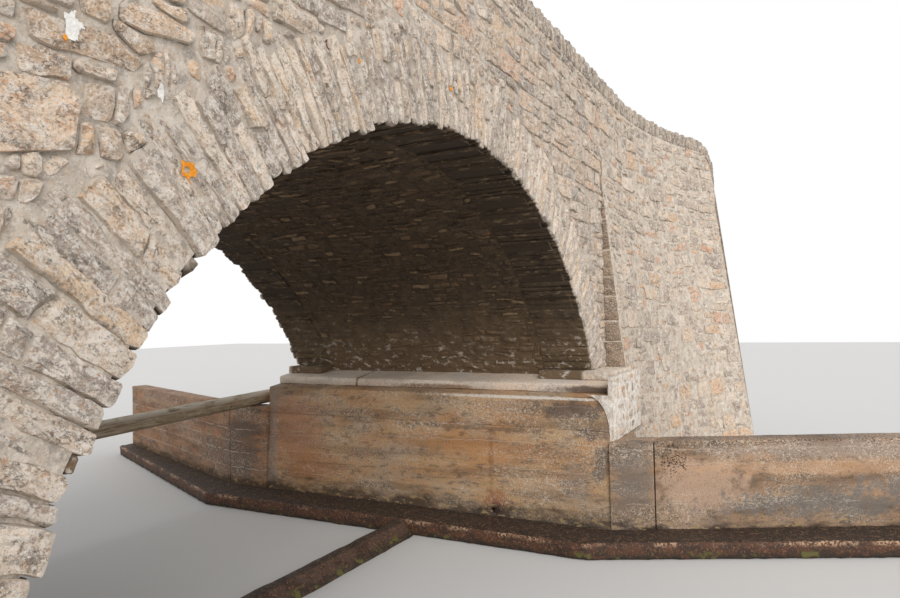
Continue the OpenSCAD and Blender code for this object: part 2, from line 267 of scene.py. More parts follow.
    def slab_joints(self, side: Side) -> list[float]:
        """Joints between the coping slabs of a wing.

        Args:
            side: the right or left wing.
        Returns:
            Their stations.
        """
        def count(length: float) -> int:
            """Number of slabs over a length."""
            return max(3, round(length / self.coping_pitch))
        straight = count(self.straight_x - self.pilaster_x(side))
        curve = count(self.curve_len)
        return [i / straight for i in range(straight)] + [1 + i / curve for i in range(curve + 1)]


SIZES = BridgeSizes()


@dataclass(frozen=True)
class Skin:
    """A surface of the bridge that stones are laid on.

    at gives the point at a distance u along it and a height v up it, and sign turns its normal outwards.
    """

    at: Callable[[float, float], Vector]
    sign: float = 1.0

    # Distance over which the surface's direction is taken.
    STEP = 0.004

    def place(self, u: float, v: float, w: float) -> Vector:
        """Point over the surface.

        Args:
            u, v: place on the surface.
            w: distance out of it.
        Returns:
            The point in the bridge's frame.
        """
        here = self.at(u, v)
        if abs(w) < TINY:
            return here
        normal = (self.at(u + self.STEP, v) - here).cross(self.at(u, v + self.STEP) - here)
        return here + normal.normalized() * (self.sign * w)


def face_skin(end: End, y: float, outward: float = 1.0) -> Skin:
    """Skin of an upright face along the road, whose u is X and whose v is Z.

    Args:
        end: the near or the far one.
        y: distance of the face from the middle of the road.
        outward: 1 where it faces away from the road, -1 where it faces the road.
    Returns:
        The skin.
    """
    def at(u: float, v: float) -> Vector:
        """Point of the face."""
        return Vector((u, end.value * y, v))
    return Skin(at, -outward * end.value)


def vault_skin() -> Skin:
    """Skin of the soffit, whose u is Y and whose v is the arc from the crown to the right.

    Returns:
        The skin.
    """
    def at(u: float, v: float) -> Vector:
        """Point of the soffit."""
        x, z = SIZES.polar(SIZES.arch_r, math.degrees(v / SIZES.arch_r))
        return Vector((x, u, z))
    return Skin(at, 1.0)


class WingLine:
    """The plan of a wing surface between a line at its foot and a line at its head, even in arc length."""

    HEIGHTS = 9
    STATIONS = 40

    def __init__(self, side: Side, foot: Callable[[float], float], head: float, head_h: float) -> None:
        """Measures the plan line at a few heights, so that stones keep their size over the warp.

        Args:
            side: the right or left wing.
            foot: offset of the foot behind the wing's face at a station.
            head: offset of the surface at head_h and above.
            head_h: height at which the batter ends.
        """
        self.side, self.foot, self.head, self.head_h = side, foot, head, head_h
        self.tables = [self._lengths(j / (self.HEIGHTS - 1)) for j in range(self.HEIGHTS)]
        self.length = self.tables[-1][-1]

    @classmethod
    def upright(cls, side: Side, offset: float) -> "WingLine":
        """Surface that stands upright at an offset behind the wing's face."""
        return cls(side, lambda u: offset, offset, SIZES.coping_base)

    def _plan(self, share: float, station: float) -> Vector:
        """Plan point at a share of the height up to the head."""
        foot = self.foot(station)
        return Vector(SIZES.wing_point(self.side, foot + (self.head - foot) * share, station))

    def _lengths(self, share: float) -> list[float]:
        """Running length of the plan line.

        Args:
            share: share of the height up to the head.
        Returns:
            Its length up to each station.
        """
        total, lengths, last = 0.0, [0.0], self._plan(share, 0.0)
        for i in range(1, self.STATIONS + 1):
            here = self._plan(share, 2 * i / self.STATIONS)
            total += (here - last).length
            lengths.append(total)
            last = here
        return lengths

    def station(self, u: float, share: float) -> float:
        """Station at a distance along the head line, scaled to the line lower down.

        Args:
            u: distance along the head line.
            share: share of the height up to the head.
        Returns:
            The station.
        """
        j = min(self.HEIGHTS - 2, max(0, int(share * (self.HEIGHTS - 1))))
        t = share * (self.HEIGHTS - 1) - j
        found = []
        for table in (self.tables[j], self.tables[j + 1]):
            want = u / self.length * table[-1]
            low, high = 0, self.STATIONS
            while high - low > 1:
                middle = (low + high) // 2
                low, high = (middle, high) if table[middle] <= want else (low, middle)
            span = table[high] - table[low]
            found.append(2 * (low + (want - table[low]) / max(span, TINY)) / self.STATIONS)
        return found[0] * (1 - t) + found[1] * t

    def skin(self, end: End, outward: float) -> Skin:
        """Skin of this wing surface on one face of the bridge.

        Args:
            end: the near or the far face.
            outward: 1 for the surface that faces outwards, -1 for its back.
        Returns:
            The skin.
        """
        side, head_h = self.side.value, self.head_h

        def at(u: float, v: float) -> Vector:
            """Point of the wing.

            Args:
                u, v: place along and up the surface.
            Returns:
                The point.
            """
            share = min(1.0, max(0.0, v / head_h))
            p = self._plan(share, self.station(u, share))
            return Vector((side * p.x, end.value * (SIZES.face_y - p.y), v))
        return Skin(at, outward * -side * end.value)


@dataclass
class Cell:
    """Outline of one stone on its skin, the angle of its bedding and its kind, 0 to 1 along the palette."""

    outline: Outline
    bed: float = 0.0
    kind: float | None = None


def clip(outline: Outline, plane: HalfPlane) -> Outline:
    """Part of a convex outline on one side of a line.

    Args:
        outline: the outline.
        plane: a, b and c of the line, whose side a*u + b*v <= c is kept.
    Returns:
        The part, empty if nothing is left.
    """
    a, b, c = plane
    kept: Outline = []
    for i, p in enumerate(outline):
        q = outline[(i + 1) % len(outline)]
        dp, dq = a * p[0] + b * p[1] - c, a * q[0] + b * q[1] - c
        if dp <= 0:
            kept.append(p)
        if dp * dq < 0:
            t = dp / (dp - dq)
            kept.append((p[0] + (q[0] - p[0]) * t, p[1] + (q[1] - p[1]) * t))
    return kept


def rectangle(u0: float, u1: float, v0: float, v1: float) -> Outline:
    """Outline of a rectangle, from the lower left."""
    return [(u0, v0), (u1, v0), (u1, v1), (u0, v1)]


def within(u0: float, u1: float, v0: float, v1: float) -> list[HalfPlane]:
    """Half-planes that bound a rectangle."""
    return [(-1.0, 0.0, -u0), (1.0, 0.0, u1), (0.0, -1.0, -v0), (0.0, 1.0, v1)]


def area_of(outline: Outline) -> float:
    """Area of an outline, positive when it runs anticlockwise."""
    return sum(p[0] * q[1] - q[0] * p[1] for p, q in zip(outline, outline[1:] + outline[:1])) / 2


def centre_of(outline: Outline) -> Point:
    """Mean of an outline's points."""
    return sum(p[0] for p in outline) / len(outline), sum(p[1] for p in outline) / len(outline)


def hewn(outline: Outline, corner: float, longest: float, wobble: float, rng: Random) -> Outline:
    """Outline of a hand-split stone: corners knocked off, long edges broken and no edge quite straight.

    Args:
        outline: the stone's straight-sided outline.
        corner: how much of a corner is knocked off.
        longest: longest edge that stays in one line.
        wobble: how far a point strays.
        rng: source of chance.
    Returns:
        The rough outline.
    """
    rough: Outline = []
    n = len(outline)
    for i, p in enumerate(outline):
        q = outline[(i + 1) % n]
        edge = Vector(q) - Vector(p)
        length = edge.length
        if length < 1e-4:
            continue
        cut = min(corner * rng.uniform(0.5, 1.4), 0.3 * length)
        first, last = cut / length, 1 - min(corner * rng.uniform(0.5, 1.4), 0.3 * length) / length
        pieces = max(1, math.ceil((last - first) * length / longest))
        for k in range(pieces + 1):
            t = first + (last - first) * k / pieces
            stray = rng.uniform(-wobble, wobble) * (0.4 if k in (0, pieces) else 1.0)
            normal = Vector((edge.y, -edge.x)) / length
            at = Vector(p) + edge * t + normal * stray
            rough.append((at.x, at.y))
    return rough


def inset(outline: Outline, gap: float) -> Outline:
    """Convex outline drawn in by a gap along every edge.

    Args:
        outline: the outline, anticlockwise.
        gap: how far it is drawn in.
    Returns:
        The smaller outline.
    """
    kept = list(outline)
    for i, p in enumerate(outline):
        q = outline[(i + 1) % len(outline)]
        a, b = q[1] - p[1], p[0] - q[0]
        kept = clip(kept, (a, b, a * p[0] + b * p[1] - gap * math.hypot(a, b)))
    return kept


def keep_off(outline: Outline, u: float, v: float, gap: float = 0.0) -> HalfPlane:
    """Half-plane that keeps a stone off its neighbour.

    Args:
        outline: the neighbour's outline, anticlockwise.
        u, v: middle of the stone.
        gap: joint between the two.
    Returns:
        The half-plane, empty if the middle lies in the outline.
    """
    best, plane = 0.0, (0.0, 0.0, -1.0)
    for i, p in enumerate(outline):
        q = outline[(i + 1) % len(outline)]
        run = math.dist(p, q) or 1.0
        a, b = (q[1] - p[1]) / run, (p[0] - q[0]) / run
        away = a * (u - p[0]) + b * (v - p[1])
        if away > best:
            best, plane = away, (-a, -b, -(a * p[0] + b * p[1]) - gap)
    return plane


@dataclass
class RubbleLayout:
    """Random rubble brought to rough courses: blocks, and thinner stones laid flat to make up a height.

    course and length are the ranges of a block's height and length, joint the range of the mortar's width,
    stray how far a course line wanders, lean how far an upright joint leans, split the share of blocks that
    are made up of thinner stones, and least the smallest stone that is laid.
    """

    course: tuple[float, float] = (0.13, 0.31)
    length: tuple[float, float] = (0.15, 0.46)
    joint: tuple[float, float] = (0.004, 0.024)
    stray: float = 0.060
    lean: float = 0.034
    split: float = 0.45
    least: float = 0.030

    # Waves per metre of a course line, along and up the wall, and the slice of noise that makes them.
    WAVES = (1.9, 2.3, 4.7)
    # Room that no course starts in, and lowest course.
    SPARE, LOWEST = 0.05, 0.06
    # A thin stone longer than this is parted again, this often.
    PARTED_FROM, PARTED = 0.2, 0.4
    # Half sizes of a filling stone, its least area, and how far apart the places for one are tried.
    FILL_LENGTH, FILL_HEIGHT, FILL_AREA, FILL_STEP = (0.07, 0.19), (0.04, 0.11), 0.0009, 0.045
    # Squares in which neighbours are looked up, and how far a stone reaches into the next one.
    SQUARE, NEIGHBOURS = 0.25, 0.2
    # Share of a stone that its bounds must leave, the least area worth breaking, and how often it is broken.
    KEPT, BREAKABLE, BREAKS = 0.86, 0.008, 2
    # Share of its own box that a stone fills at least.
    FULLNESS = 0.45

    def level(self, u: float, v: float) -> float:
        """Height of a course line, straight at v but for its wandering, at a place."""
        along, up, part = self.WAVES
        return v + self.stray * noise.noise(Vector((u * along, v * up, part)))

    def block(self, u0: float, u1: float, v0: float, v1: float, rng: Random) -> Outline:
        """Outline of one block.

        Args:
            u0, u1: its two upright joints.
            v0, v1: its two course lines.
            rng: source of chance.
        Returns:
            Four points from the lower left.
        """
        lean = self.lean
        foot, head = u0 + rng.uniform(-lean, lean), u1 + rng.uniform(-lean, lean)
        left, right = u0 - rng.uniform(-lean, lean), u1 - rng.uniform(-lean, lean)
        return [(foot, self.level(foot, v0)), (head, self.level(head, v0)),
                (right, self.level(right, v1)), (left, self.level(left, v1))]

    def broken(self, block: Outline, rng: Random) -> list[Outline]:
        """The block itself, or the thinner stones that take its place.

        Args:
            block: outline of four points from the lower left.
            rng: source of chance.
        Returns:
            Outlines of one to four stones.
        """
        high = block[3][1] - block[0][1]
        if rng.random() > self.split * min(1.6, high / self.course[1] + 0.35):
            return [block]
        t0 = rng.uniform(0.3, 0.7)
        t1 = min(0.8, max(0.2, t0 + rng.uniform(-0.12, 0.12)))
        a, b, c, d = (Vector(p) for p in block)
        left, right = a.lerp(d, t0), b.lerp(c, t1)
        stones = []
        for part in ((a, b, right, left), (left, right, c, d)):
            if (part[1] - part[0]).length > self.PARTED_FROM and rng.random() < self.PARTED:
                t = rng.uniform(0.3, 0.7)
                foot, head = part[0].lerp(part[1], t), part[3].lerp(part[2], t + rng.uniform(-0.06, 0.06))
                stones += [(part[0], foot, head, part[3]), (foot, part[1], part[2], head)]
            else:
                stones.append(part)
        return [[(p.x, p.y) for p in stone] for stone in stones]

    def cells(self, u0: float, u1: float, v0: float, v1: float, rng: Random,
              limits: Limits | None = None) -> list[Cell]:
        """Cells of a rectangle.

        Args:
            u0, u1, v0, v1: the rectangle.
            rng: source of chance.
            limits: half-planes that also bound the stone whose middle is at a point.
        Returns:
            One cell for each stone.
        """
        cells, v = [], v0
        while v < v1 - self.SPARE:
            h = min(rng.uniform(*self.course), max(self.LOWEST, v1 - v))
            u = u0 - rng.uniform(0.0, self.length[1])
            while u < u1:
                run = rng.uniform(*self.length) * (0.65 + 0.5 * h / self.course[1])
                for stone in self.broken(self.block(u, u + run, v, v + h, rng), rng):
                    bounds = within(u0, u1, v0, v1)
                    bounds += limits(*centre_of(stone)) if limits is not None else []
                    cells += self.fitted(stone, bounds, rng)
                u += run
            v += h
        return cells

    def packing(self, cells: list[Cell], u0: float, u1: float, v0: float, v1: float, rng: Random,
                limits: Limits) -> list[Cell]:
        """Stones cut to fit what the others leave bare.

        Args:
            cells: the stones that lie already.
            u0, u1, v0, v1: the rectangle.
            rng: source of chance.
            limits: half-planes that also bound the stone whose middle is at a point.
        Returns:
            One cell for each filling stone.
        """
        near: dict[tuple[int, int], list[Outline]] = {}

        def squares(low: float, high: float) -> range:
            """Squares that a stone between two places comes near."""
            return range(math.floor((low - self.NEIGHBOURS) / self.SQUARE),
                         math.floor((high + self.NEIGHBOURS) / self.SQUARE) + 1)

        def note(outline: Outline) -> None:
            """Notes a stone in each square that it comes near.

            Args:
                outline: the stone's outline.
            """
            us, vs = zip(*outline)
            for square in itertools.product(squares(min(us), max(us)), squares(min(vs), max(vs))):
                near.setdefault(square, []).append(outline)
        for cell in cells:
            note(cell.outline)
        step, found = self.FILL_STEP, []
        spots = [(u0 + step * (i + rng.random()), v0 + step * (j + rng.random()))
                 for i in range(int((u1 - u0) / step)) for j in range(int((v1 - v0) / step))]
        rng.shuffle(spots)
        for u, v in spots:
            room = self.least / 2
            planes = [*within(u0, u1, v0, v1), *limits(u, v)]
            if any(a * u + b * v > c - room for a, b, c in planes):
                continue
            gap = rng.uniform(*self.joint)
            square = math.floor(u / self.SQUARE), math.floor(v / self.SQUARE)
            around = [keep_off(outline, u, v, gap) for outline in near.get(square, [])]
            if any(a * u + b * v > c - room for a, b, c in around):
                continue
            half = Vector((rng.uniform(*self.FILL_LENGTH), rng.uniform(*self.FILL_HEIGHT)))
            outline = rectangle(u - half.x, u + half.x, v - half.y, v + half.y)
            for plane in planes + around:
                outline = clip(outline, plane)
            if len(outline) > 2 and area_of(outline) > self.FILL_AREA:
                found.append(Cell(outline, rng.gauss(0.0, 0.1)))
                note(outline)
        return found

    def fitted(self, stone: Outline, bounds: list[HalfPlane], rng: Random, deep: int = 0) -> list[Cell]:
        """The stone cut to its bounds, or smaller ones where the bounds would leave a long splinter.

        Args:
            stone: outline of four points from the lower left.
            bounds: half-planes that it must stay in.
            rng: source of chance.
            deep: how often it has been broken up.
        Returns:
            The cells.
        """
        gap = rng.uniform(*self.joint) / 2
        outline = inset(stone, gap)
        whole = area_of(outline) if len(outline) > 2 else 0.0
        for a, b, c in bounds:
            outline = clip(outline, (a, b, c - gap * math.hypot(a, b)))
        if len(outline) < 3:
            return []
        if area_of(outline) < self.KEPT * whole and deep < self.BREAKS and whole > self.BREAKABLE:
            a, b, c, d = (Vector(p) for p in stone)
            t = rng.uniform(0.4, 0.6)
            foot, head = a.lerp(b, t), d.lerp(c, t)
            halves = ((a, foot, head, d), (foot, b, c, head))
            return [cell for half in halves
                    for cell in self.fitted([(p.x, p.y) for p in half], bounds, rng, deep + 1)]
        return [Cell(outline, rng.gauss(0.0, 0.05))] if self.sound(outline) else []

    def sound(self, outline: Outline) -> bool:
        """Whether an outline is big enough to be a stone.

        Args:
            outline: the outline.
        Returns:
            True if it is.
        """
        wide = max(p[0] for p in outline) - min(p[0] for p in outline)
        high = max(p[1] for p in outline) - min(p[1] for p in outline)
        return min(wide, high) > self.least and area_of(outline) > self.FULLNESS * wide * high


@dataclass(frozen=True)
class Level:
    """One ring of a stone, from its back to its face.

    depth is its distance out of the wall in metres, inset how far it draws in from the outline, share the
    part of the half size that it draws in further, and bare how free of mortar it is, 0 to 1.
    """

    depth: float
    inset: float = 0.0
    share: float = 0.0
    bare: float = 0.0


RUBBLE_LEVELS = (Level(-0.090), Level(-0.014), Level(0.000, 0.006, bare=0.45),
                 Level(0.003, 0.008, 0.40, 1.0))
SMALL_LEVELS = (Level(-0.060), Level(-0.012), Level(0.001, 0.006, 0.10, 0.7))
SLAB_LEVELS = (Level(-0.600, 0.010), Level(-0.590), Level(-0.400), Level(-0.190),
               Level(-0.024), Level(-0.003, 0.006, bare=0.45), Level(0.003, 0.010, 0.30, 1.0))


@dataclass
class Stone:
    """One stone while its rings are shaped, in the plane of its skin."""

    cell: Cell
    centre: Vector
    half: Vector
    scale: Vector = field(default_factory=lambda: Vector((1.0, 1.0)))

    @classmethod
    def of(cls, cell: Cell, outline: Outline) -> "Stone":
        """Measures a stone.

        Args:
            cell: what was laid out for it.
            outline: its rough outline.
        Returns:
            The stone.
        """
        turn = Matrix.Rotation(-cell.bed, 2)
        local = [turn @ Vector(p) for p in outline]
        low = Vector((min(p.x for p in local), min(p.y for p in local)))
        high = Vector((max(p.x for p in local), max(p.y for p in local)))
        return cls(cell, Matrix.Rotation(cell.bed, 2) @ ((low + high) / 2), (high - low) / 2)

    def local(self, u: float, v: float) -> Vector:
        """Place of a point from the stone's centre, along its bed and across it."""
        return Matrix.Rotation(-self.cell.bed, 2) @ (Vector((u, v)) - self.centre)

    def draw(self, verts: Iterable[bmesh.types.BMVert], level: Level) -> None:
        """Moves the points of the stone's front ring to a level.

        Args:
            verts: the points.
            level: the level.
        """
        scale = Vector([(1 - level.share) * max(0.3, 1 - level.inset / max(h, 0.01)) for h in self.half])
        for vert in verts:
            p = self.local(vert.co.x, vert.co.y)
            p = Vector((p.x * scale.x / self.scale.x, p.y * scale.y / self.scale.y))
            q = self.centre + Matrix.Rotation(self.cell.bed, 2) @ p
            vert.co = (q.x, q.y, level.depth)
        self.scale = scale


@dataclass(frozen=True)
class StoneLayers:
    """What each point of a stone carries: how bare it is of mortar, the stone's tint and its coordinates."""

    bare: bmesh.types.BMLayerItem
    tint: bmesh.types.BMLayerItem
    grain: bmesh.types.BMLayerItem

    @classmethod
    def of(cls, bm: bmesh.types.BMesh) -> "StoneLayers":
        """Adds the layers to a bmesh."""
        layers = bm.verts.layers
        return cls(layers.float.new("bare"), layers.float_color.new("tint"), layers.float_vector.new("grain"))


@dataclass
class Stonework:
    """One piece of masonry: rough closed stones laid on a skin, each with its own colour and set."""

    name: str
    skin: Skin
    finish: "Finish"
    slot: str
    levels: tuple[Level, ...] = RUBBLE_LEVELS
    corner: float = 0.011
    longest: float = 0.085
    wobble: float = 0.007
    proud: tuple[float, float] = (0.004, 0.026)
    tilt: float = 0.045
    rough: float = 0.015
    seed: int = 1

    # A stone with a quarter of its face above BIG stands PROUDER out. None leans further than STEEPEST.
    BIG, PROUDER, STEEPEST = 0.018, 0.010, 0.012
    # How far apart in the noise two stones may lie, so that no two are alike.
    SPREAD = 20
    # Bumps per metre, coarse and fine, of a stone's relief and of the drift of its points along the wall.
    BUMPS, DRIFTS = (9.0, 27.0), (13.0, 37.0)

    def build(self, cells: list[Cell], replaces: tuple[str, ...] = ()) -> bpy.types.Object:
        """Builds the piece.

        Args:
            cells: outline of each stone on the skin.
            replaces: CAD nodes that the piece stands for.
        Returns:
            The finished object, riding on the bridge.
        """
        rng = Random(self.seed)
        bm = bmesh.new()
        layers = StoneLayers.of(bm)
        number = bm.faces.layers.int.new("number")
        stones: list[Stone] = []
        for cell in cells:
            outline = hewn(cell.outline, self.corner, self.longest, self.wobble, rng)
            if len(outline) < 3:
                continue
            face = bm.faces.new([bm.verts.new((u, v, self.levels[0].depth)) for u, v in outline])
            face[number] = len(stones)
            stones.append(Stone.of(cell, outline))
        backs = list(bm.faces)
        grown = bmesh.ops.extrude_face_region(bm, geom=backs, use_keep_orig=True)
        fronts = [g for g in grown["geom"] if isinstance(g, bmesh.types.BMFace)]
        for back in backs:
            stones[back[number]].draw(back.verts, self.levels[0])
            stones[back[number]].scale = Vector((1.0, 1.0))
        for step, level in enumerate(self.levels[1:]):
            if step:
                bmesh.ops.inset_individual(bm, faces=fronts, thickness=0.0, depth=0.0)
            for front in fronts:
                stones[front[number]].draw(front.verts, level)
                for vert in front.verts:
                    vert[layers.bare] = level.bare
        for vert in bmesh.ops.poke(bm, faces=fronts, center_mode="MEAN")["verts"]:
            vert[layers.bare] = 1.0
            vert.co.z += self.rough * 0.4
        for back in backs:
            self._set(stones[back[number]], self._shell(back), layers, rng)
        return finished(self.name, bm, self.finish, replaces)

    @staticmethod
    def _shell(back: bmesh.types.BMFace) -> list[bmesh.types.BMVert]:
        """Points of one stone.

        Args:
            back: its back face.
        Returns:
            All points joined to that face.
        """
        seen, todo = set(back.verts), list(back.verts)
        while todo:
            for edge in todo.pop().link_edges:
                for vert in edge.verts:
                    if vert not in seen:
                        seen.add(vert)
                        todo.append(vert)
        return list(seen)

    def _set(self, stone: Stone, verts: list[bmesh.types.BMVert], layers: StoneLayers, rng: Random) -> None:
        """Beds one stone: how proud it stands, its tilt and relief, and its place on the skin.

        Args:
            stone: the stone.
            verts: its points.
            layers: the layers that they carry.
            rng: source of chance.
        """
        kind = stone.cell.kind if stone.cell.kind is not None else rng.random()
        colour = (kind, rng.random(), rng.random(), 1.0)
        out = rng.uniform(*self.proud) + (self.PROUDER if stone.half.x * stone.half.y > self.BIG else 0.0)
        tilt = Vector([rng.gauss(0, self.tilt) for _ in range(2)])
        shift = Vector([rng.uniform(-self.SPREAD, self.SPREAD) for _ in range(3)])
        for vert in sorted(verts, key=lambda v: v.index):
            u, v, w = vert.co
            p = stone.local(u, v)
            spot = Vector((p.x, p.y, w)) + shift
            # The set grows from the bed forwards, and the relief is weaker under mortar.
            front = min(1.0, max(0.0, (w + 0.05) / 0.04))
            lean = max(-self.STEEPEST, min(self.STEEPEST, p.x * tilt.x + p.y * tilt.y))
            coarse, fine = (noise.noise(spot * bumps) for bumps in self.BUMPS)
            relief = coarse * self.rough + fine * self.rough * 0.5
            w += front * (out + lean + relief * (0.4 + 0.6 * vert[layers.bare]))
            far, near = (noise.noise_vector(spot * drifts) for drifts in self.DRIFTS)
            drift = (far + near * 0.5) * self.wobble
            vert[layers.tint] = colour
            vert[layers.grain] = spot
            vert.co = self.skin.place(u + drift.x, v + drift.y, w)


def slice_through(bm: bmesh.types.BMesh, axis: int, places: Iterable[float]) -> None:
    """Cuts a whole bmesh across an axis, so that its faces are short enough to follow a form.

    Args:
        bm: the bmesh.
        axis: 0 to 2 for X to Z.
        places: where the cuts lie on the axis.
    """
    normal = Vector((0, 0, 0))
    normal[axis] = 1.0
    for place in places:
        geom = bm.verts[:] + bm.edges[:] + bm.faces[:]
        bmesh.ops.bisect_plane(bm, geom=geom, plane_co=normal * place, plane_no=normal)


def finished(name: str, bm: bmesh.types.BMesh, finish: "Finish",
             replaces: tuple[str, ...] = (), crease: float = 40.0) -> bpy.types.Object:
    """Turns a bmesh into a piece of the bridge.

    Args:
        name: name of the piece.
        bm: its shape in the bridge's frame, freed here.
        finish: its material.
        replaces: CAD nodes that it stands for.
        crease: angle above which an edge stays sharp, in degrees.
    Returns:
        The object, riding on the bridge.
    """
    bmesh.ops.recalc_face_normals(bm, faces=bm.faces[:])
    mesh = bpy.data.meshes.new(name)
    bm.to_mesh(mesh)
    bm.free()
    mesh.shade_smooth()
    mesh.set_sharp_from_angle(angle=math.radians(crease))
    mesh.materials.append(finish.material())
    obj = bpy.data.objects.new(name, mesh)
    bpy.context.scene.collection.objects.link(obj)
    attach(obj, "root")
    if replaces:
        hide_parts(*replaces)
    triangles = sum(len(p.vertices) - 2 for p in mesh.polygons)
    LOG.info("%s: %d triangles", name, triangles)
    return obj


def linear(code: str) -> tuple[float, float, float, float]:
    """Linear colour of an sRGB hex value such as #b5aa9c."""
    parts = [int(code[i:i + 2], 16) / 255 for i in (1, 3, 5)]
    return (*[p / 12.92 if p <= 0.04045 else ((p + 0.055) / 1.055) ** 2.4 for p in parts], 1.0)


def per_mm(size: float) -> float:
    """Scale of a pattern whose features are a size in millimetres, over coordinates in metres."""
    return 1000.0 / size


def add_node(tree: bpy.types.NodeTree, kind: str, inputs: dict | None = None,
             **settings: object) -> bpy.types.Node:
    """Adds a node to a tree.

    Args:
        tree: the tree.
        kind: type of the node, without the ShaderNode that starts it.
        inputs: values or sockets for its inputs, by name or number.
        settings: its own properties.
    Returns:
        The node.
    """
    node = tree.nodes.new("ShaderNode" + kind)
    for key, value in settings.items():
        setattr(node, key, value)
    for key, value in (inputs or {}).items():
        if isinstance(value, bpy.types.NodeSocket):
            tree.links.new(value, node.inputs[key])
        else:
            node.inputs[key].default_value = value
    return node


class Paint:
    """Builds one material from coats of colour, masks and relief, on the coordinates that it is given."""

    def __init__(self, name: str, attribute: str | None, roughness: float) -> None:
        """Starts an empty material.

        Args:
            name: name of the material.
            attribute: vector attribute that patterns follow, or None for Object coordinates.
            roughness: how matt it is.
        """
        self.result = bpy.data.materials.new(name)
        self.result.use_nodes = True
        self.tree = self.result.node_tree
        self.tree.nodes.clear()
        self.shader = self.add("BsdfPrincipled", {"Roughness": roughness})
        self.add("OutputMaterial", {"Surface": self.shader.outputs[0]})
        self.place = self.add("TexCoord").outputs["Object"]
        self.coords = self.carried(attribute).outputs["Vector"] if attribute else self.place
        self.colour: Socket | None = None
        self.normal: Socket | None = None

    def add(self, kind: str, inputs: dict | None = None, **settings: object) -> bpy.types.Node:
        """Adds a node to the material, as add_node does."""
        return add_node(self.tree, kind, inputs, **settings)

    def stretched(self, along: float, across: float, deep: float = 1.0,
                  coords: Socket | None = None) -> Socket:
        """Coordinates on which patterns come out longer along one axis, by these factors."""
        scale = (1 / along, 1 / across, 1 / deep)
        return self.add("Mapping", {"Vector": coords or self.coords, "Scale": scale}).outputs[0]

    def patches(self, size: float, low: float, high: float, detail: float = 4.0, coords: Socket | None = None,
                rough: float = 0.55) -> Socket:
        """Mask of ragged patches.

        Args:
            size: size of a patch in millimetres.
            low, high: noise values between which the mask rises from 0 to 1.
            detail: how ragged the edge is.
            coords: coordinates, if not the material's own.
            rough: how strong the fine noise is.
        Returns:
            The mask's socket.
        """
        return self.band(self.grit(size, detail, coords, rough), low, high)

    def away(self, centre: tuple[float, float, float], weights: tuple[float, float, float]) -> Socket:
        """Distance from a point.

        Args:
            centre: the point.
            weights: what each axis counts for.
        Returns:
            The distance's socket.
        """
        apart = self.add("VectorMath", {0: self.place, 1: centre}, operation="SUBTRACT").outputs[0]
        weighed = self.add("VectorMath", {0: apart, 1: weights}, operation="MULTIPLY").outputs[0]
        return self.add("VectorMath", {0: weighed}, operation="LENGTH").outputs["Value"]

    def worked(self, operation: str, *values: Socket | float) -> Socket:
        """What a Math node makes of values."""
        return self.add("Math", dict(enumerate(values)), operation=operation).outputs[0]

    def band(self, value: Socket, low: float, high: float) -> Socket:
        """Mask that rises from 0 to 1 as a value goes from low to high."""
        inputs = {0: value, 1: low, 2: high}
        return self.add("MapRange", inputs, interpolation_type="SMOOTHSTEP").outputs[0]

    def times(self, first: Socket | float, *others: Socket | float) -> Socket | float:
        """Product of masks.

        Args:
            first, others: the masks.
        Returns:
            The product's socket, or the one mask itself.
        """
        for other in others:
            first = self.worked("MULTIPLY", first, other)
        return first

    def coat(self, colour: str | Socket, *masks: Socket | float) -> None:
        """Lays a colour over the last one where all masks say so.

        Args:
            colour: hex value or socket.
            masks: what their product is the strength of, from 0 to 1.
        """
        over = linear(colour) if isinstance(colour, str) else colour
        under = self.colour if self.colour is not None else over
        inputs = {0: self.times(*masks), 6: under, 7: over}
        self.colour = self.add("Mix", inputs, data_type="RGBA", clamp_factor=True).outputs[2]

    def palette(self, value: Socket, colours: tuple[str, ...]) -> Socket:
        """Colour picked from a row of colours.

        Args:
            value: from 0 to 1 along the row.
            colours: hex values.
        Returns:
            The colour's socket.
        """
        node = self.add("ValToRGB", {0: value})
        ramp = node.color_ramp
        ramp.interpolation = "CONSTANT"
        for i, colour in enumerate(colours):
            stop = ramp.elements[i] if i < 2 else ramp.elements.new(i / len(colours))
            stop.position, stop.color = i / len(colours), linear(colour)
        return node.outputs[0]

    def relief(self, height: Socket, depth: float, strength: float = 1.0) -> None:
        """Raises the surface.

        Args:
            height: from 0 to 1.
            depth: how much a height of 1 is, in millimetres.
            strength: how much of it shows.
        """
        inputs = {"Height": height, "Distance": depth / 1000, "Strength": strength}
        if self.normal is not None:
            inputs["Normal"] = self.normal
        self.normal = self.add("Bump", inputs).outputs[0]

    def scaled(self, value: Socket, low: float, high: float) -> Socket:
        """A value from 0 to 1 drawn out to run from low to high."""
        return self.add("MapRange", {0: value, 3: low, 4: high}, clamp=False).outputs[0]

    def grit(self, size: float, detail: float = 5.0, coords: Socket | None = None,
             rough: float = 0.6) -> Socket:
        """Plain noise, for relief.

        Args:
            size: size of its features in millimetres.
            detail: how much finer noise it has.
            coords: coordinates, if not the material's own.
            rough: how strong the fine noise is.
        Returns:
            The noise's socket.
        """
        inputs = {"Vector": coords or self.coords, "Scale": per_mm(size), "Detail": detail,
                  "Roughness": rough}
        return self.add("TexNoise", inputs).outputs["Fac"]

    def creases(self, size: float, width: float, coords: Socket | None = None, rough: float = 0.6) -> Socket:
        """Mask of thin winding cracks: where noise of a size in millimetres crosses its middle."""
        off = self.worked("SUBTRACT", self.grit(size, 6.0, coords, rough), 0.5)
        return self.band(self.worked("ABSOLUTE", off), width, 0.0)

    def sink(self, mask: Socket, depth: float) -> None:
        """Sinks the surface where a mask is 1, by a depth in millimetres."""
        self.relief(self.worked("SUBTRACT", 1.0, mask), depth)

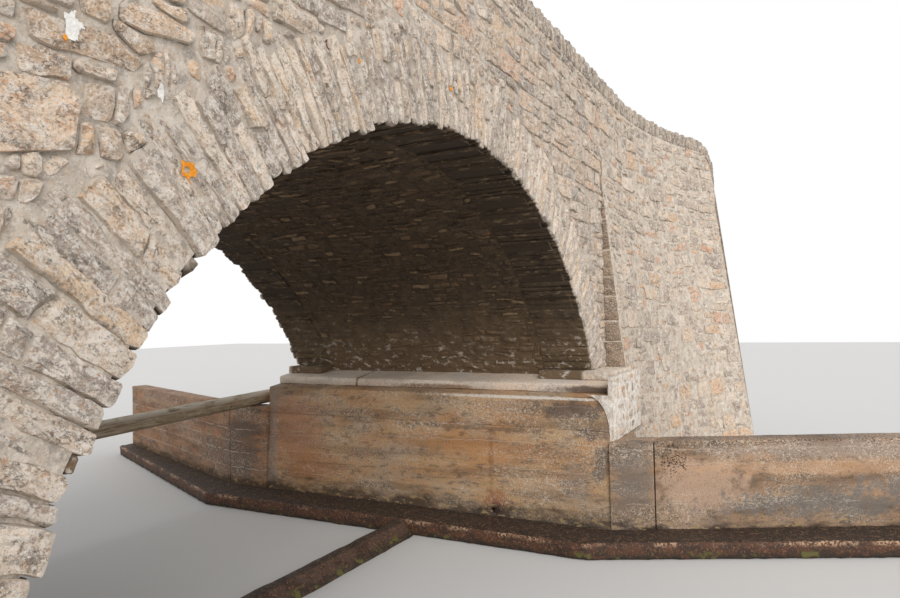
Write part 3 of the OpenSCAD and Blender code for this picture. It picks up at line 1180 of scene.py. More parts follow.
    def axis(self, which: int, coords: Socket | None = None) -> Socket:
        """One coordinate of the object, 0 to 2 for X to Z."""
        return self.add("SeparateXYZ", {0: coords or self.place}).outputs[which]

    def upward(self) -> Socket:
        """How far the surface faces up, from -1 to 1."""
        return self.axis(2, self.add("NewGeometry").outputs["Normal"])

    def lumps(self, size: float, coords: Socket) -> Socket:
        """Distance from the middle of rounded lumps of a size in millimetres."""
        inputs = {"Vector": coords, "Scale": per_mm(size)}
        return self.add("TexVoronoi", inputs, feature="F1").outputs["Distance"]

    def carried(self, attribute: str) -> bpy.types.Node:
        """Node of something that the points of the mesh carry."""
        return self.add("Attribute", attribute_name=attribute)

    def done(self) -> bpy.types.Material:
        """Links colour and relief to the shader.

        Returns:
            The material.
        """
        if self.colour is not None:
            self.tree.links.new(self.colour, self.shader.inputs["Base Color"])
        if self.normal is not None:
            self.tree.links.new(self.normal, self.shader.inputs["Normal"])
        return self.result


class Finish:
    """A finish whose material is made once and shared."""

    name: str
    roughness: float
    # Vector that the points of the mesh carry and patterns follow, if they don't follow Object coordinates.
    GRAIN: str | None = None
    made: dict["Finish", bpy.types.Material] = {}

    def material(self) -> bpy.types.Material:
        """The finish's material, made at its first use.

        Returns:
            The material.
        """
        if self not in Finish.made:
            p = Paint(self.name, self.GRAIN, self.roughness)
            self.paint(p)
            Finish.made[self] = p.done()
        return Finish.made[self]

    def paint(self, p: Paint) -> None:
        """Lays the finish's coats on an empty material."""
        raise NotImplementedError


def under_arch(p: Paint, out: Point, deep: Point) -> Socket:
    """Mask of what faces down under the arch.

    Args:
        p: the material.
        out: distances from the soffit line at which the mask begins and is full.
        deep: distances from the plane of the faces at which it begins and is full, negative inwards.
    Returns:
        The mask.
    """
    radius = p.away((0.0, 0.0, SIZES.centre_h), (1.0, 0.0, 1.0))
    depth = p.away((0.0, 0.0, 0.0), (0.0, 1.0, 0.0))
    return p.times(p.band(radius, SIZES.arch_r + out[0], SIZES.arch_r + out[1]),
                   p.band(depth, SIZES.face_y + deep[0], SIZES.face_y + deep[1]))


def lime_bloom_and_low_light(p: Paint, where: Socket | float) -> None:
    """Lightens the soffit towards the springing, a painted light where the low soffit takes more light, and
    lays pale patches where lime has seeped out.

    Args:
        p: the material.
        where: mask of the soffit.
    """
    height = p.worked("ADD", p.axis(2), p.scaled(p.grit(300, 5.0, p.place), 0.6, -0.6))
    # Painted light: a broad lighter brown from about 2.9 m down to 1.8 m.
    p.coat("#80694e", p.band(height, 2.9, 1.8), 0.62, where)
    drawn = p.stretched(1.0, 1.6, 1.0, p.place)
    seeped = p.times(p.band(height, 2.45, 1.85), p.patches(75, 0.55, 0.63, 8.0, drawn, 0.7))
    p.coat("#d3c9bb", seeped, 0.85, where)


@dataclass(frozen=True)
class SplitStone(Finish):
    """Hand-split schist and granite: matt, mottled and gritty, its bedding drawn out in low ridges.

    colours are those of the single stones. shade, crust and warm are the weathered patches, pit_and_shadow
    and fleck the grains, pit_and_shadow also the painted shadow along a stone's edge, and mortar what the
    float left on the arrises, up to smear. soot_and_shade is the colour that sooting and painted shade give
    the underside of the arch, if the stones reach it, and damp marks stones that all lie there, which also
    get the painted light of the low soffit.
    """

    name: str
    colours: tuple[str, ...]
    shade: str = "#8a8077"
    grime: str = "#6a635b"
    crust: str = "#ded3c6"
    warm: str = "#b98458"
    pit_and_shadow: str = "#5f554c"
    fleck: str = "#e6dccf"
    mortar: str = "#c4b8a9"
    soot_and_shade: str = ""
    damp: bool = False
    crust_low: float = 0.52
    shade_low: float = 0.50
    grime_low: float = 0.555
    pit_low: float = 0.570
    smear: float = 0.30
    ridge: float = 7.0
    roughness: float = 0.92
    GRAIN = "grain"

    def paint(self, p: Paint) -> None:
        """Lays the coats, which follow each stone's own grain.

        Args:
            p: the material.
        """
        kind, wear, warmth = p.add("SeparateColor", {0: p.carried("tint").outputs["Color"]}).outputs
        bare = p.carried("bare").outputs["Fac"]
        p.coat(p.palette(kind, self.colours), 1.0)
        along = p.stretched(1.6, 1.0, 1.2)
        # Weathering differs in strength from stone to stone.
        p.coat(self.shade, p.patches(70, self.shade_low, self.shade_low + 0.10, 9.0, along, 0.72),
               p.scaled(wear, 0.20, 0.90))
        p.coat(self.warm, p.patches(80, 0.54, 0.64, 8.0, along, 0.7),
               p.scaled(p.band(warmth, 0.35, 1.0), 0.12, 0.75))
        p.coat(self.crust, p.patches(52, self.crust_low - 0.01, self.crust_low + 0.06, 9.0, along, 0.75),
               0.80)
        # Black crust lichen in ragged clusters.
        p.coat(self.grime, p.patches(40, self.grime_low - 0.01, self.grime_low + 0.05, 9.0, rough=0.78),
               p.scaled(wear, 0.35, 0.90))
        # Quartz, feldspar and biotite grains of 3 to 8 mm, drawn as coarse as they need to show.
        p.coat(self.fleck, p.patches(15, 0.50, 0.58, 6.0, rough=0.75), 0.62)
        p.coat(self.pit_and_shadow, p.patches(14, self.pit_low - 0.03, self.pit_low + 0.04, 6.0, rough=0.8), 0.62)
        p.coat(self.warm, p.patches(20, 0.56, 0.62, 5.0, rough=0.7), 0.40)
        # Splitting leaves steps and cracks along the bedding, drawn darker.
        cracks = p.times(p.creases(95, 0.014, along, 0.7), p.patches(90, 0.48, 0.60, 4.0))
        p.coat(self.pit_and_shadow, cracks, 0.45)
        # Mortar left on the arrises by the float.
        strayed = p.scaled(p.grit(75, 6.0, p.place), -0.95, 0.95)
        p.coat(self.mortar, p.band(p.worked("ADD", bare, strayed), self.smear + 0.10, self.smear))
        # Painted shadow: dark in ragged stretches along the edge where a stone meets the mortar.
        p.coat(self.pit_and_shadow, p.band(bare, 0.16, 0.02), p.patches(110, 0.48, 0.58, 5.0, p.place), 0.75)
        # Sooting and painted shade on the stones' undersides within a few centimetres of the intrados, darker
        # and lighter in patches.
        if self.soot_and_shade:
            under = under_arch(p, (0.070, 0.035), (0.004, -0.014))
            p.coat(self.soot_and_shade, under)
            drawn = p.stretched(1.0, 3.0, 1.0, p.place)
            p.coat("#33291e", under, p.patches(70, 0.50, 0.64, 6.0, drawn))
            p.coat("#7f6a4f", under, p.patches(38, 0.57, 0.64, 6.0, drawn))
            lime_bloom_and_low_light(p, under)
        if self.damp:
            lime_bloom_and_low_light(p, 1.0)
        p.sink(cracks, 5.0)
        p.relief(p.lumps(48, along), 9.0)
        p.relief(p.grit(70, 4.0, along), 16.0)
        p.relief(p.grit(22, 7.0, along, 0.7), self.ridge)


@dataclass(frozen=True)
class FloatedMortar(Finish):
    """Lime and cement mortar floated flush by hand: pale, gritty, grimy in streaks, with trowel marks.

    pale, grime and pit_and_shadow are its patches and holes, the holes dark with painted shade,
    soot_and_shade the sooted and shaded colour of what lies under the arch behind the face, if some of it
    does, and damp marks mortar that all lies there.
    """

    name: str
    colour: str = "#beb2a4"
    pale: str = "#d3c8ba"
    grime: str = "#948a7f"
    pit_and_shadow: str = "#6c6258"
    warm: str = "#bca58d"
    soot_and_shade: str = ""
    damp: bool = False
    roughness: float = 0.94

    def paint(self, p: Paint) -> None:
        """Lays the coats.

        Args:
            p: the material.
        """
        p.coat(self.colour, 1.0)
        p.coat(self.pale, p.patches(120, 0.46, 0.58, 6.0))
        p.coat(self.grime, p.patches(80, 0.50, 0.62, 8.0), 0.75)
        p.coat(self.warm, p.patches(55, 0.50, 0.60, 8.0, rough=0.7), 0.60)
        # Small dark holes: painted shade in the hollows of the mortar.
        p.coat(self.pit_and_shadow, p.patches(17, 0.60, 0.66, 5.0, rough=0.75), 0.50)
        p.coat(self.pale, p.patches(15, 0.52, 0.60, 5.0, rough=0.75), 0.6)
        # Under the arch behind the face the mortar is drawn dark: sooting and painted shade.
        if self.soot_and_shade:
            under = under_arch(p, (0.16, 0.12), (-0.03, -0.09))
            p.coat(self.soot_and_shade, under)
            lime_bloom_and_low_light(p, under)
        if self.damp:
            lime_bloom_and_low_light(p, 1.0)
        p.relief(p.grit(90, 4.0), 22.0)
        p.relief(p.grit(20, 7.0, rough=0.7), 6.0)


@dataclass(frozen=True)
class Stain:
    """A stain on a wall along the channel: an ellipse about a place across the road and a height.

    across and up are its half sizes in metres, strength is how well it covers, fray how far its edge strays
    as a part of its size, grain the size of that straying, and specks the size of the specks that it is
    made of, 0 for a whole one, both in millimetres.
    """

    y: float
    z: float
    across: float
    up: float
    colour: str
    strength: float = 0.6
    fray: float = 0.5
    grain: float = 110.0
    specks: float = 0.0

    def lay(self, p: Paint) -> None:
        """Coats a material with the stain.

        Args:
            p: the material.
        """
        far = p.away((0.0, self.y, self.z), (0.0, 1 / self.across, 1 / self.up))
        strayed = p.worked("ADD", far, p.scaled(p.grit(self.grain, 6.0), 2 * self.fray, -2 * self.fray))
        mask = p.times(p.band(strayed, 1.1, 0.5), self.strength)
        if self.specks:
            mask = p.times(mask, p.patches(self.specks, 0.53, 0.59, 4.0, p.stretched(1.3, 1.3)))
        p.coat(self.colour, mask)


@dataclass(frozen=True)
class Seam:
    """A line that a gap between two shuttering boards left: its height, fall along the wall and look."""

    z: float
    fall: float = 0.0
    colour: str = "#cbbba8"
    strength: float = 0.6
    thick: float = 0.006

    def lay(self, p: Paint) -> None:
        """Coats a material with the seam, broken here and there.

        Args:
            p: the material.
        """
        tilted = p.worked("ADD", p.axis(2), p.times(p.axis(1), self.fall))
        off = p.worked("SUBTRACT", tilted, self.z)
        wavy = p.worked("ADD", off, p.scaled(p.grit(160, 3.0), 0.03, -0.03))
        line = p.band(p.worked("ABSOLUTE", wavy), self.thick, 0.0)
        p.coat(self.colour, line, p.patches(210, 0.44, 0.54, 7.0), self.strength)


@dataclass(frozen=True)
class BoardedConcrete(Finish):
    """Old concrete cast against boards: smooth to the eye, mottled brown by peat and speckled with lime.

    warm, grey and dark are its soft patches, bloom the lime, pit the air holes, board the width of a board
    in millimetres, and foot the height up to which it is damp and black.
    """

    name: str
    colour: str
    warm: str
    grey: str
    bloom: str = "#d2c3b0"
    dark: str = "#5b4838"
    pit_and_shadow: str = "#3a2f27"
    damp: str = "#2c231b"
    board: float = 150.0
    foot: float = 0.42
    limed: float = 0.8
    stains: tuple[Stain, ...] = ()
    seams: tuple[Seam, ...] = ()
    roughness: float = 0.88

    def paint(self, p: Paint) -> None:
        """Lays the coats, with boards and stains drawn out along the wall.

        Args:
            p: the material.
        """
        level = p.stretched(9.0, 9.0)
        wide = p.stretched(2.4, 2.4)
        p.coat(self.colour, 1.0)
        p.coat(self.warm, p.patches(330, 0.44, 0.62, 5.0, wide), 0.8)
        p.coat(self.grey, p.patches(240, 0.46, 0.62, 7.0, wide), 0.75)
        # Each board took the stain differently.
        p.coat(self.dark, p.patches(self.board, 0.46, 0.60, 3.0, level), 0.45)
        p.coat(self.dark, p.patches(60, 0.52, 0.62, 9.0, wide, 0.7), 0.60)
        for stain in self.stains:
            stain.lay(p)
        limed = p.times(p.patches(420, 0.40, 0.60, 5.0, wide), self.limed)
        p.coat(self.bloom, p.patches(24, 0.52, 0.62, 8.0, p.stretched(1.6, 1.6), 0.7), limed)
        p.coat(self.bloom, p.patches(9, 0.54, 0.62, 4.0, p.stretched(1.5, 1.5)), limed)
        # Air holes and lost grains of 2 to 5 mm, drawn coarser so that they show.
        p.coat(self.pit_and_shadow, p.patches(13, 0.55, 0.62, 6.0, rough=0.7), 0.62)
        for seam in self.seams:
            seam.lay(p)
        if self.foot:
            height = p.worked("ADD", p.axis(2), p.scaled(p.grit(130, 7.0, wide), 0.30, -0.30))
            p.coat(self.damp, p.band(height, self.foot, self.foot * 0.35), 0.85)
            p.coat("#a98f66", p.band(height, 0.36, 0.24), p.patches(40, 0.57, 0.62, 7.0, wide), 0.7)
        p.relief(p.grit(150, 2.0, level), 4.0)
        p.relief(p.grit(26, 6.0), 4.0)
        p.relief(p.grit(8, 4.0), 1.4)


@dataclass(frozen=True)
class WetLedge(Finish):
    """Scoured concrete ledge: black and slimy on top, with a frayed pale arris and a red-brown face."""

    name: str
    top: str = "#2f2116"
    face: str = "#50321f"
    arris: str = "#b89678"
    edge_h: float = 0.165
    roughness: float = 0.72

    def paint(self, p: Paint) -> None:
        """Lays the coats, told apart by the way that the surface faces.

        Args:
            p: the material.
        """
        up = p.upward()
        height = p.axis(2)
        p.coat(self.face, 1.0)
        p.coat("#38261a", p.patches(90, 0.44, 0.60, 7.0, p.stretched(2.0, 2.0)))
        p.coat("#855a40", p.patches(22, 0.54, 0.62, 7.0), 0.70)
        # Green slime and a black tide mark run along the foot.
        p.coat("#2b231a", p.band(height, 0.090, 0.020), p.patches(60, 0.34, 0.56, 6.0))
        p.coat("#5f5a2b", p.band(height, 0.100, 0.050), p.patches(120, 0.55, 0.64, 6.0))
        scuffed = p.times(p.patches(26, 0.45, 0.56, 7.0), p.patches(420, 0.45, 0.60, 3.0))
        p.coat(self.arris, p.band(height, self.edge_h - 0.055, self.edge_h - 0.010), scuffed)
        flat = p.band(up, 0.75, 0.97)
        p.coat(self.top, flat)
        p.coat("#281d14", flat, p.patches(110, 0.46, 0.60, 7.0, p.stretched(1.5, 1.5)))
        p.coat("#6a4d37", p.patches(55, 0.52, 0.60, 9.0, rough=0.7), 0.8, flat)
        p.coat("#9a8069", p.patches(19, 0.57, 0.63, 6.0, rough=0.7), 0.7, flat)
        p.coat("#15100c", flat, p.patches(34, 0.56, 0.62, 8.0, rough=0.7))
        p.relief(p.grit(60, 5.0), 9.0)
        p.relief(p.grit(14, 5.0), 4.0)


@dataclass(frozen=True)
class WeatheredTimber(Finish):
    """A barked spruce pole left out for years: silvery with a painted highlight on top, brown with painted
    shade and green below, with long checks.
    """

    name: str = "weathered_spruce"
    roughness: float = 0.85
    GRAIN = "grain"

    def paint(self, p: Paint) -> None:
        """Lays the coats, which follow the pole's own length and girth.

        Args:
            p: the material.
        """
        along = p.stretched(14.0, 1.0)
        p.coat("#bca78a", 1.0)
        p.coat("#96826a", p.patches(24, 0.45, 0.60, 6.0, along))
        p.coat("#d6c8b2", p.patches(30, 0.48, 0.62, 6.0, along), 0.8)
        p.coat("#4f4231", p.patches(9, 0.58, 0.66, 4.0, p.stretched(30.0, 1.0)), 0.8)
        up = p.upward()
        # Lighter on top: silvered wood and a painted highlight.
        p.coat("#ddd2bf", p.band(up, 0.20, 0.85), p.patches(70, 0.36, 0.56, 6.0, p.stretched(3.0, 1.0)))
        # Darker brown underneath: unsilvered wood and painted shade.
        down = p.times(up, -1.0)
        p.coat("#6b5b3d", p.band(down, 0.2, 0.9), 0.55)
        p.coat("#76704a", p.band(down, -0.5, 0.5), p.patches(90, 0.56, 0.66, 5.0))
        p.relief(p.grit(12, 5.0, along), 3.0)
        p.relief(p.grit(5, 3.0, p.stretched(30.0, 1.0)), 1.2)


@dataclass(frozen=True)
class RustedSteel(Finish):
    """Plain steel tube rusted through and through: matt orange brown with darker scale."""

    name: str = "rusted_steel"
    roughness: float = 0.8

    def paint(self, p: Paint) -> None:
        """Lays the coats.

        Args:
            p: the material.
        """
        p.coat("#5a3524", 1.0)
        p.coat("#7c4325", p.patches(14, 0.45, 0.60, 5.0))
        p.coat("#2e211b", p.patches(9, 0.58, 0.66, 4.0))
        p.coat("#8d8378", p.patches(20, 0.56, 0.62, 4.0), 0.8)
        p.relief(p.grit(5, 4.0), 1.0)


@dataclass(frozen=True)
class WornRoad(Finish):
    """Old tar and chippings, polished grey in two wheel tracks with grit along the edges."""

    name: str = "tarred_chippings"
    roughness: float = 0.9

    def paint(self, p: Paint) -> None:
        """Lays the coats.

        Args:
            p: the material.
        """
        p.coat("#5d5a56", 1.0)
        p.coat("#75716b", p.patches(12, 0.48, 0.60, 3.0))
        p.coat("#3f3d3a", p.patches(16, 0.58, 0.66, 4.0))
        across = p.worked("ABSOLUTE", p.axis(1))
        track = p.times(p.band(across, 0.45, 0.75), p.band(across, 1.35, 1.05))
        p.coat("#87827a", track, p.patches(300, 0.30, 0.60, 6.0, p.stretched(5.0, 1.0)))
        p.coat("#8b7d68", p.band(across, 1.45, 1.80), p.patches(90, 0.40, 0.58, 6.0))
        p.relief(p.grit(12, 3.0), 4.0)


@dataclass(frozen=True)
class PackedFill(Finish):
    """Rammed earth and broken stone between the walls: brown, loose and coarse."""

    name: str = "rammed_earth_and_stone"
    roughness: float = 0.95

    def paint(self, p: Paint) -> None:
        """Lays the coats.

        Args:
            p: the material.
        """
        p.coat("#6b5946", 1.0)
        p.coat("#4d3f31", p.patches(300, 0.42, 0.60, 6.0, p.stretched(2.0, 2.0)))
        lumps = p.lumps(110, p.stretched(1.5, 1.5))
        p.coat("#8b8072", p.band(lumps, 0.42, 0.30), p.patches(240, 0.45, 0.55, 3.0))
        p.coat("#2f261e", p.band(lumps, 0.50, 0.72), 0.7)
        p.relief(p.band(lumps, 0.60, 0.10), 25.0)
        p.relief(p.grit(30, 6.0), 8.0)


@dataclass(frozen=True)
class CrustLichen(Finish):
    """Crust lichen on the stone, a bright matt patch with a warty skin."""

    name: str
    colour: str
    pale: str
    roughness: float = 0.9

    def paint(self, p: Paint) -> None:
        """Lays the coats.

        Args:
            p: the material.
        """
        p.coat(self.colour, 1.0)
        p.coat(self.pale, p.patches(12, 0.48, 0.60, 4.0))
        p.relief(p.grit(6, 4.0), 1.5)


@dataclass(frozen=True)
class PaleFloor(Finish):
    """Pale matt studio floor."""

    name: str = "studio_floor"
    colour: str = "#d9d7d3"
    roughness: float = 0.95

    def paint(self, p: Paint) -> None:
        """Gives the floor its one colour."""
        p.shader.inputs["Base Color"].default_value = linear(self.colour)


WALL_STONE = SplitStone(
    "split_schist_and_granite", ("#d0bba4", "#bdad9d", "#dcc6ae", "#a89a8e", "#d6b898", "#c7b19b", "#d8ba9d",
                                 "#a3968a", "#d4ac8d", "#cdb9a6", "#bfa48a", "#decbb6", "#dfc4a9"),
    warm="#c3936b", shade="#877b70", grime="#625a52", pit_and_shadow="#6a5f55")
# The ring slabs take a dark colour on their undersides at the intrados: sooting and painted shadow.
RING_STONE = SplitStone(
    "split_schist_on_edge", ("#d1bea9", "#b9aa9c", "#dfcbb4", "#a89b8f", "#d7bb9c", "#c7b5a3", "#d8bea3",
                             "#aea094", "#e1cfbb"), warm="#c69870", shade="#877b70", grime="#5f5750",
    pit_and_shadow="#675c52", ridge=8.0, crust_low=0.49, soot_and_shade="#4f4131")
WING_STONE = SplitStone(
    "lime_washed_split_stone", ("#dcc7af", "#bead9c", "#e3d0bb", "#aa9a8c", "#dab28b", "#cbb7a1", "#dec2a5",
                                "#a29386", "#d2a27f", "#c8b5a3"), warm="#c38f63", shade="#7b6e61",
    grime="#6b5f54", pit_and_shadow="#685c51", mortar="#c9bba9", smear=0.36)
# The soffit's dark palette is partly its sooted, damp stone and partly painted shade under the vault.
SOFFIT_STONE = SplitStone(
    "damp_sooty_schist", ("#463828", "#53422f", "#372b1f", "#604c35", "#493b2b", "#947b5a", "#4d3e2c",
                          "#775d40"), shade="#352b20", crust="#a3937c", warm="#8a5a33", pit_and_shadow="#211a13",
    fleck="#85745c", grime="#30271d", mortar="#524432", crust_low=0.600, damp=True, smear=0.45, roughness=0.8)
COPING_STONE = SplitStone("weathered_coping_schist",
                          ("#ab9c8b", "#9b8e7f", "#b5a48f", "#938677", "#a6947e", "#887c70"), shade="#63594f",
                          shade_low=0.47)
# Dark brown palette and mortar: painted shade of the narrow return strip beside the ring.
RETURN_STONE = SplitStone(
    "peat_stained_schist", ("#9c866f", "#a48c72", "#927c66", "#8a755f"), shade="#6c5c50", crust="#b3a38f",
    crust_low=0.60, mortar="#94826d")
WALL_MORTAR = FloatedMortar("floated_lime_mortar")
WING_MORTAR = FloatedMortar("lime_washed_mortar", "#c8bbab", "#d9cec0", "#a3978a", "#7d7266")
# The ring bed and pad mortars are drawn dark under the arch: sooting and painted shade.
RING_MORTAR = FloatedMortar("ring_bed_mortar", soot_and_shade="#43372a")
PAD_MORTAR = FloatedMortar("lime_bedded_pad_stone", "#dac9b5", "#e8dccd", "#a89a8a", soot_and_shade="#5a4b3b")
APRON_MORTAR = FloatedMortar("thrown_lime_mortar", "#e6dbcd", "#f3ece2", "#c6b9aa", "#9a8d80")
# Dark mortar of the soffit: sooted and damp, and partly painted shade under the vault.
SOFFIT_MORTAR = FloatedMortar("sooty_lime_mortar", "#463929", "#574734", "#35291f", "#1c1711", "#5c4a35",
                              damp=True)
ABUTMENT_STAINS = (
    Stain(2.16, 0.85, 0.09, 0.90, "#96867a", 0.80, 0.25), Stain(1.75, 1.05, 0.50, 0.50, "#b8866a", 0.55),
    Stain(1.50, 0.55, 0.70, 0.20, "#b07448", 0.55),
    Stain(-1.55, 1.548, 1.35, 0.022, "#e2d8cb", 0.90, 0.35, 60.0),
    Stain(1.30, 1.30, 0.60, 0.22, "#c9bbab", 0.75, specks=10.0),
    Stain(0.60, 0.80, 1.10, 0.30, "#cdb9a2", 0.70, specks=9.0),
    Stain(-0.90, 1.17, 1.20, 0.035, "#6b5543", 0.65),
    Stain(-0.60, 1.205, 0.30, 0.012, "#f0ebe4", 0.95, 0.4, 30.0, 24.0),
    Stain(-1.10, 0.92, 0.85, 0.17, "#b98150", 0.55), Stain(-0.30, 0.98, 0.55, 0.13, "#b98657", 0.50),
    Stain(-1.35, 1.43, 0.45, 0.11, "#cbbcab", 0.80, specks=11.0),
    Stain(-2.20, 1.42, 0.46, 0.13, "#62544a", 0.85), Stain(-2.40, 1.17, 0.26, 0.08, "#665950", 0.80),
    Stain(-2.52, 0.85, 0.11, 0.22, "#6b6158", 0.80), Stain(-2.25, 0.65, 0.22, 0.26, "#80746a", 0.55),
    Stain(-1.95, 0.62, 0.40, 0.05, "#ded3c5", 0.85, specks=12.0),
    Stain(-1.20, 0.85, 0.035, 0.36, "#8d5d3a", 0.55, 0.6, 60.0),
    Stain(-1.27, 0.33, 0.19, 0.17, "#a0673f", 0.75, 0.35),
    Stain(-1.27, 0.27, 0.10, 0.10, "#7c4229", 0.80, 0.3, 50.0),
    Stain(-1.27, 0.23, 0.045, 0.06, "#40211a", 0.90, 0.3, 40.0),
    Stain(0.90, 0.27, 0.60, 0.07, "#cbb08f", 0.80, specks=18.0),
    Stain(-1.90, 0.25, 0.80, 0.05, "#c49c68", 0.70, specks=15.0))
ABUTMENT_CONCRETE = BoardedConcrete(
    "peat_stained_boarded_concrete", "#bd986f", "#b98a5e", "#ad957b", stains=ABUTMENT_STAINS,
    seams=(Seam(1.00, 0.02), Seam(0.715, 0.01), Seam(0.60, 0.02, "#6d5644", 0.6, 0.010),
           Seam(0.88, -0.02, strength=0.4), Seam(1.46, 0.0, strength=0.3), Seam(0.43, 0.01, strength=0.4)))
# The ledge's pale colours are partly painted light: it is drawn as bright as if sky light reached it from
# both sides.
SPRINGER_CONCRETE = BoardedConcrete(
    "wet_washed_ledge_concrete", "#ecdcc9", "#e2c8ae", "#d6c9bb", foot=0.0, limed=0.9, bloom="#f0e6d9",
    dark="#c9b6a1", pit_and_shadow="#75665a",
    stains=(Stain(0.89, 1.75, 0.022, 0.40, "#7a5840", 0.85, 0.6, 60.0),
            Stain(-0.30, 1.61, 0.75, 0.055, "#8a6647", 0.85, 0.3),
            Stain(-2.35, 1.63, 0.60, 0.060, "#5b4c42", 0.90, 0.3),
            Stain(-1.40, 1.72, 0.9, 0.05, "#dccfc0", 0.60, specks=14.0)))
CHANNEL_CONCRETE = BoardedConcrete(
    "weathered_boarded_concrete", "#9e8167", "#b28c69", "#7b6c5d", damp="#1d1712", foot=0.22, limed=0.7,
    stains=(Stain(-3.50, 0.62, 0.55, 0.36, "#c2a288", 0.75), Stain(-4.90, 0.80, 1.50, 0.10, "#c79c76", 0.60),
            Stain(-4.60, 0.42, 1.00, 0.17, "#766e66", 0.85, 0.8),
            Stain(-5.80, 0.60, 0.90, 0.16, "#7b726a", 0.80, 0.8),
            Stain(-4.90, 1.00, 1.50, 0.12, "#a69486", 0.60), Stain(-2.84, 0.72, 0.22, 0.50, "#766a5f", 0.80),
            Stain(-2.84, 0.30, 0.25, 0.16, "#7a6350", 0.70),
            Stain(-3.22, 0.98, 0.18, 0.30, "#1b1612", 0.98, specks=17.0),
            Stain(-4.10, 1.13, 1.40, 0.11, "#1b1612", 0.98, specks=13.0),
            Stain(-5.90, 1.10, 1.50, 0.09, "#1b1612", 0.90, specks=11.0)),
    seams=(Seam(1.02, 0.0, strength=0.5), Seam(0.44, 0.0, strength=0.5), Seam(0.86, 0.0, strength=0.4)))
FAR_CONCRETE = BoardedConcrete(
    "brown_boarded_concrete", "#ac8363", "#b17c54", "#937b66", dark="#5f4a3f", damp="#4a3d2a", foot=0.35,
    stains=(Stain(2.75, 0.70, 0.50, 0.60, "#6d5f53", 0.70),
            Stain(2.95, 0.70, 0.30, 0.30, "#c2b4a4", 0.60, specks=20.0)),
    seams=(Seam(0.95, strength=0.9, thick=0.010), Seam(0.78, strength=0.8, thick=0.008),
           Seam(0.62, strength=0.9, thick=0.010), Seam(0.40, strength=0.9, thick=0.010)))
LEDGE = WetLedge("scoured_wet_concrete")
SILL = WetLedge("drowned_sill_concrete", "#3f332a", "#4d3b30", "#6e5a4a", 0.18)
ORANGE_LICHEN = CrustLichen("orange_crust_lichen", "#e08a1c", "#f0a63a")
WHITE_LICHEN = CrustLichen("white_crust_lichen", "#e6e2da", "#f4f1ec")
EARTH = PackedFill()
ROAD = WornRoad()
TIMBER = WeatheredTimber()
RUST = RustedSteel()
FLOOR = PaleFloor()


GRANITE_BLOCKS = (
    Cell([(-3.74, 3.00), (-3.50, 3.05), (-3.25, 3.10), (-3.225, 3.29), (-3.29, 3.35), (-3.50, 3.318),
          (-3.74, 3.30)], 0.0, 0.96),
    Cell([(-3.41, 3.455), (-3.17, 3.462), (-3.00, 3.472), (-2.945, 3.53), (-3.08, 3.585), (-3.43, 3.57)],
         0.0, 0.81),
    Cell([(-3.06, 3.655), (-2.96, 3.635), (-2.71, 3.672), (-2.69, 3.73), (-2.87, 3.762), (-3.06, 3.735)],
         0.0, 0.50))


@dataclass
class FaceWall:
    """The rubble of one face of the bridge: spandrels and parapet between the pilaster lines."""

    end: End
    ring: "FaceRing"
    layout: RubbleLayout = field(default_factory=RubbleLayout)

    # How near to the ring a stone has to be cut to it, and the joint between the two.
    NEAR_RING, JOINT = 0.8, 0.002

    def ring_limit(self, u: float, v: float) -> list[HalfPlane]:
        """Half-planes that bound a stone of the wall.

        Args:
            u, v: middle of the stone.
        Returns:
            The outside of the ring, the foot line of its side, and what keeps off the granite blocks.
        """
        side = Side.at(u)
        x, z = u, v - SIZES.centre_h
        away = math.hypot(x, z) or 1.0
        limits = [(0.0, -1.0, -SIZES.pad_top(side))]
        if away < SIZES.ring_r + self.NEAR_RING:
            a, b = -x / away, -z / away
            back = self.ring.reach(math.degrees(math.atan2(x, z))) + self.JOINT
            limits.append((a, b, -back + b * SIZES.centre_h))
        if self.end is End.NEAR:
            limits += [keep_off(block.outline, u, v) for block in GRANITE_BLOCKS]
        return limits

    def build(self) -> None:
        """Lays the outer face and the road side of the parapet."""
        rng = Random(11 + self.end.value)
        left, right = SIZES.pilaster_x(Side.LEFT), SIZES.pilaster_x(Side.RIGHT)
        face = -left, right, SIZES.pad_top(Side.LEFT), SIZES.coping_base
        cells = self.layout.cells(*face, rng, self.ring_limit)
        if self.end is End.NEAR:
            cells += GRANITE_BLOCKS
        cells += self.layout.packing(cells, *face, rng, self.ring_limit)
        name = self.end.name.lower()
        Stonework(f"face_rubble_{name}", face_skin(self.end, SIZES.face_y), WALL_STONE, "granite_rubble",
                  corner=0.016, wobble=0.010, proud=(0.000, 0.024), rough=0.018,
                  seed=21 + self.end.value).build(cells)
        inner = self.layout.cells(-left, right, SIZES.inner_foot, SIZES.coping_base, rng)
        Stonework(f"parapet_road_side_{name}", face_skin(self.end, SIZES.face_y - SIZES.parapet_t, -1.0),
                  WALL_STONE, "granite_rubble", levels=SMALL_LEVELS, seed=31 + self.end.value).build(inner)


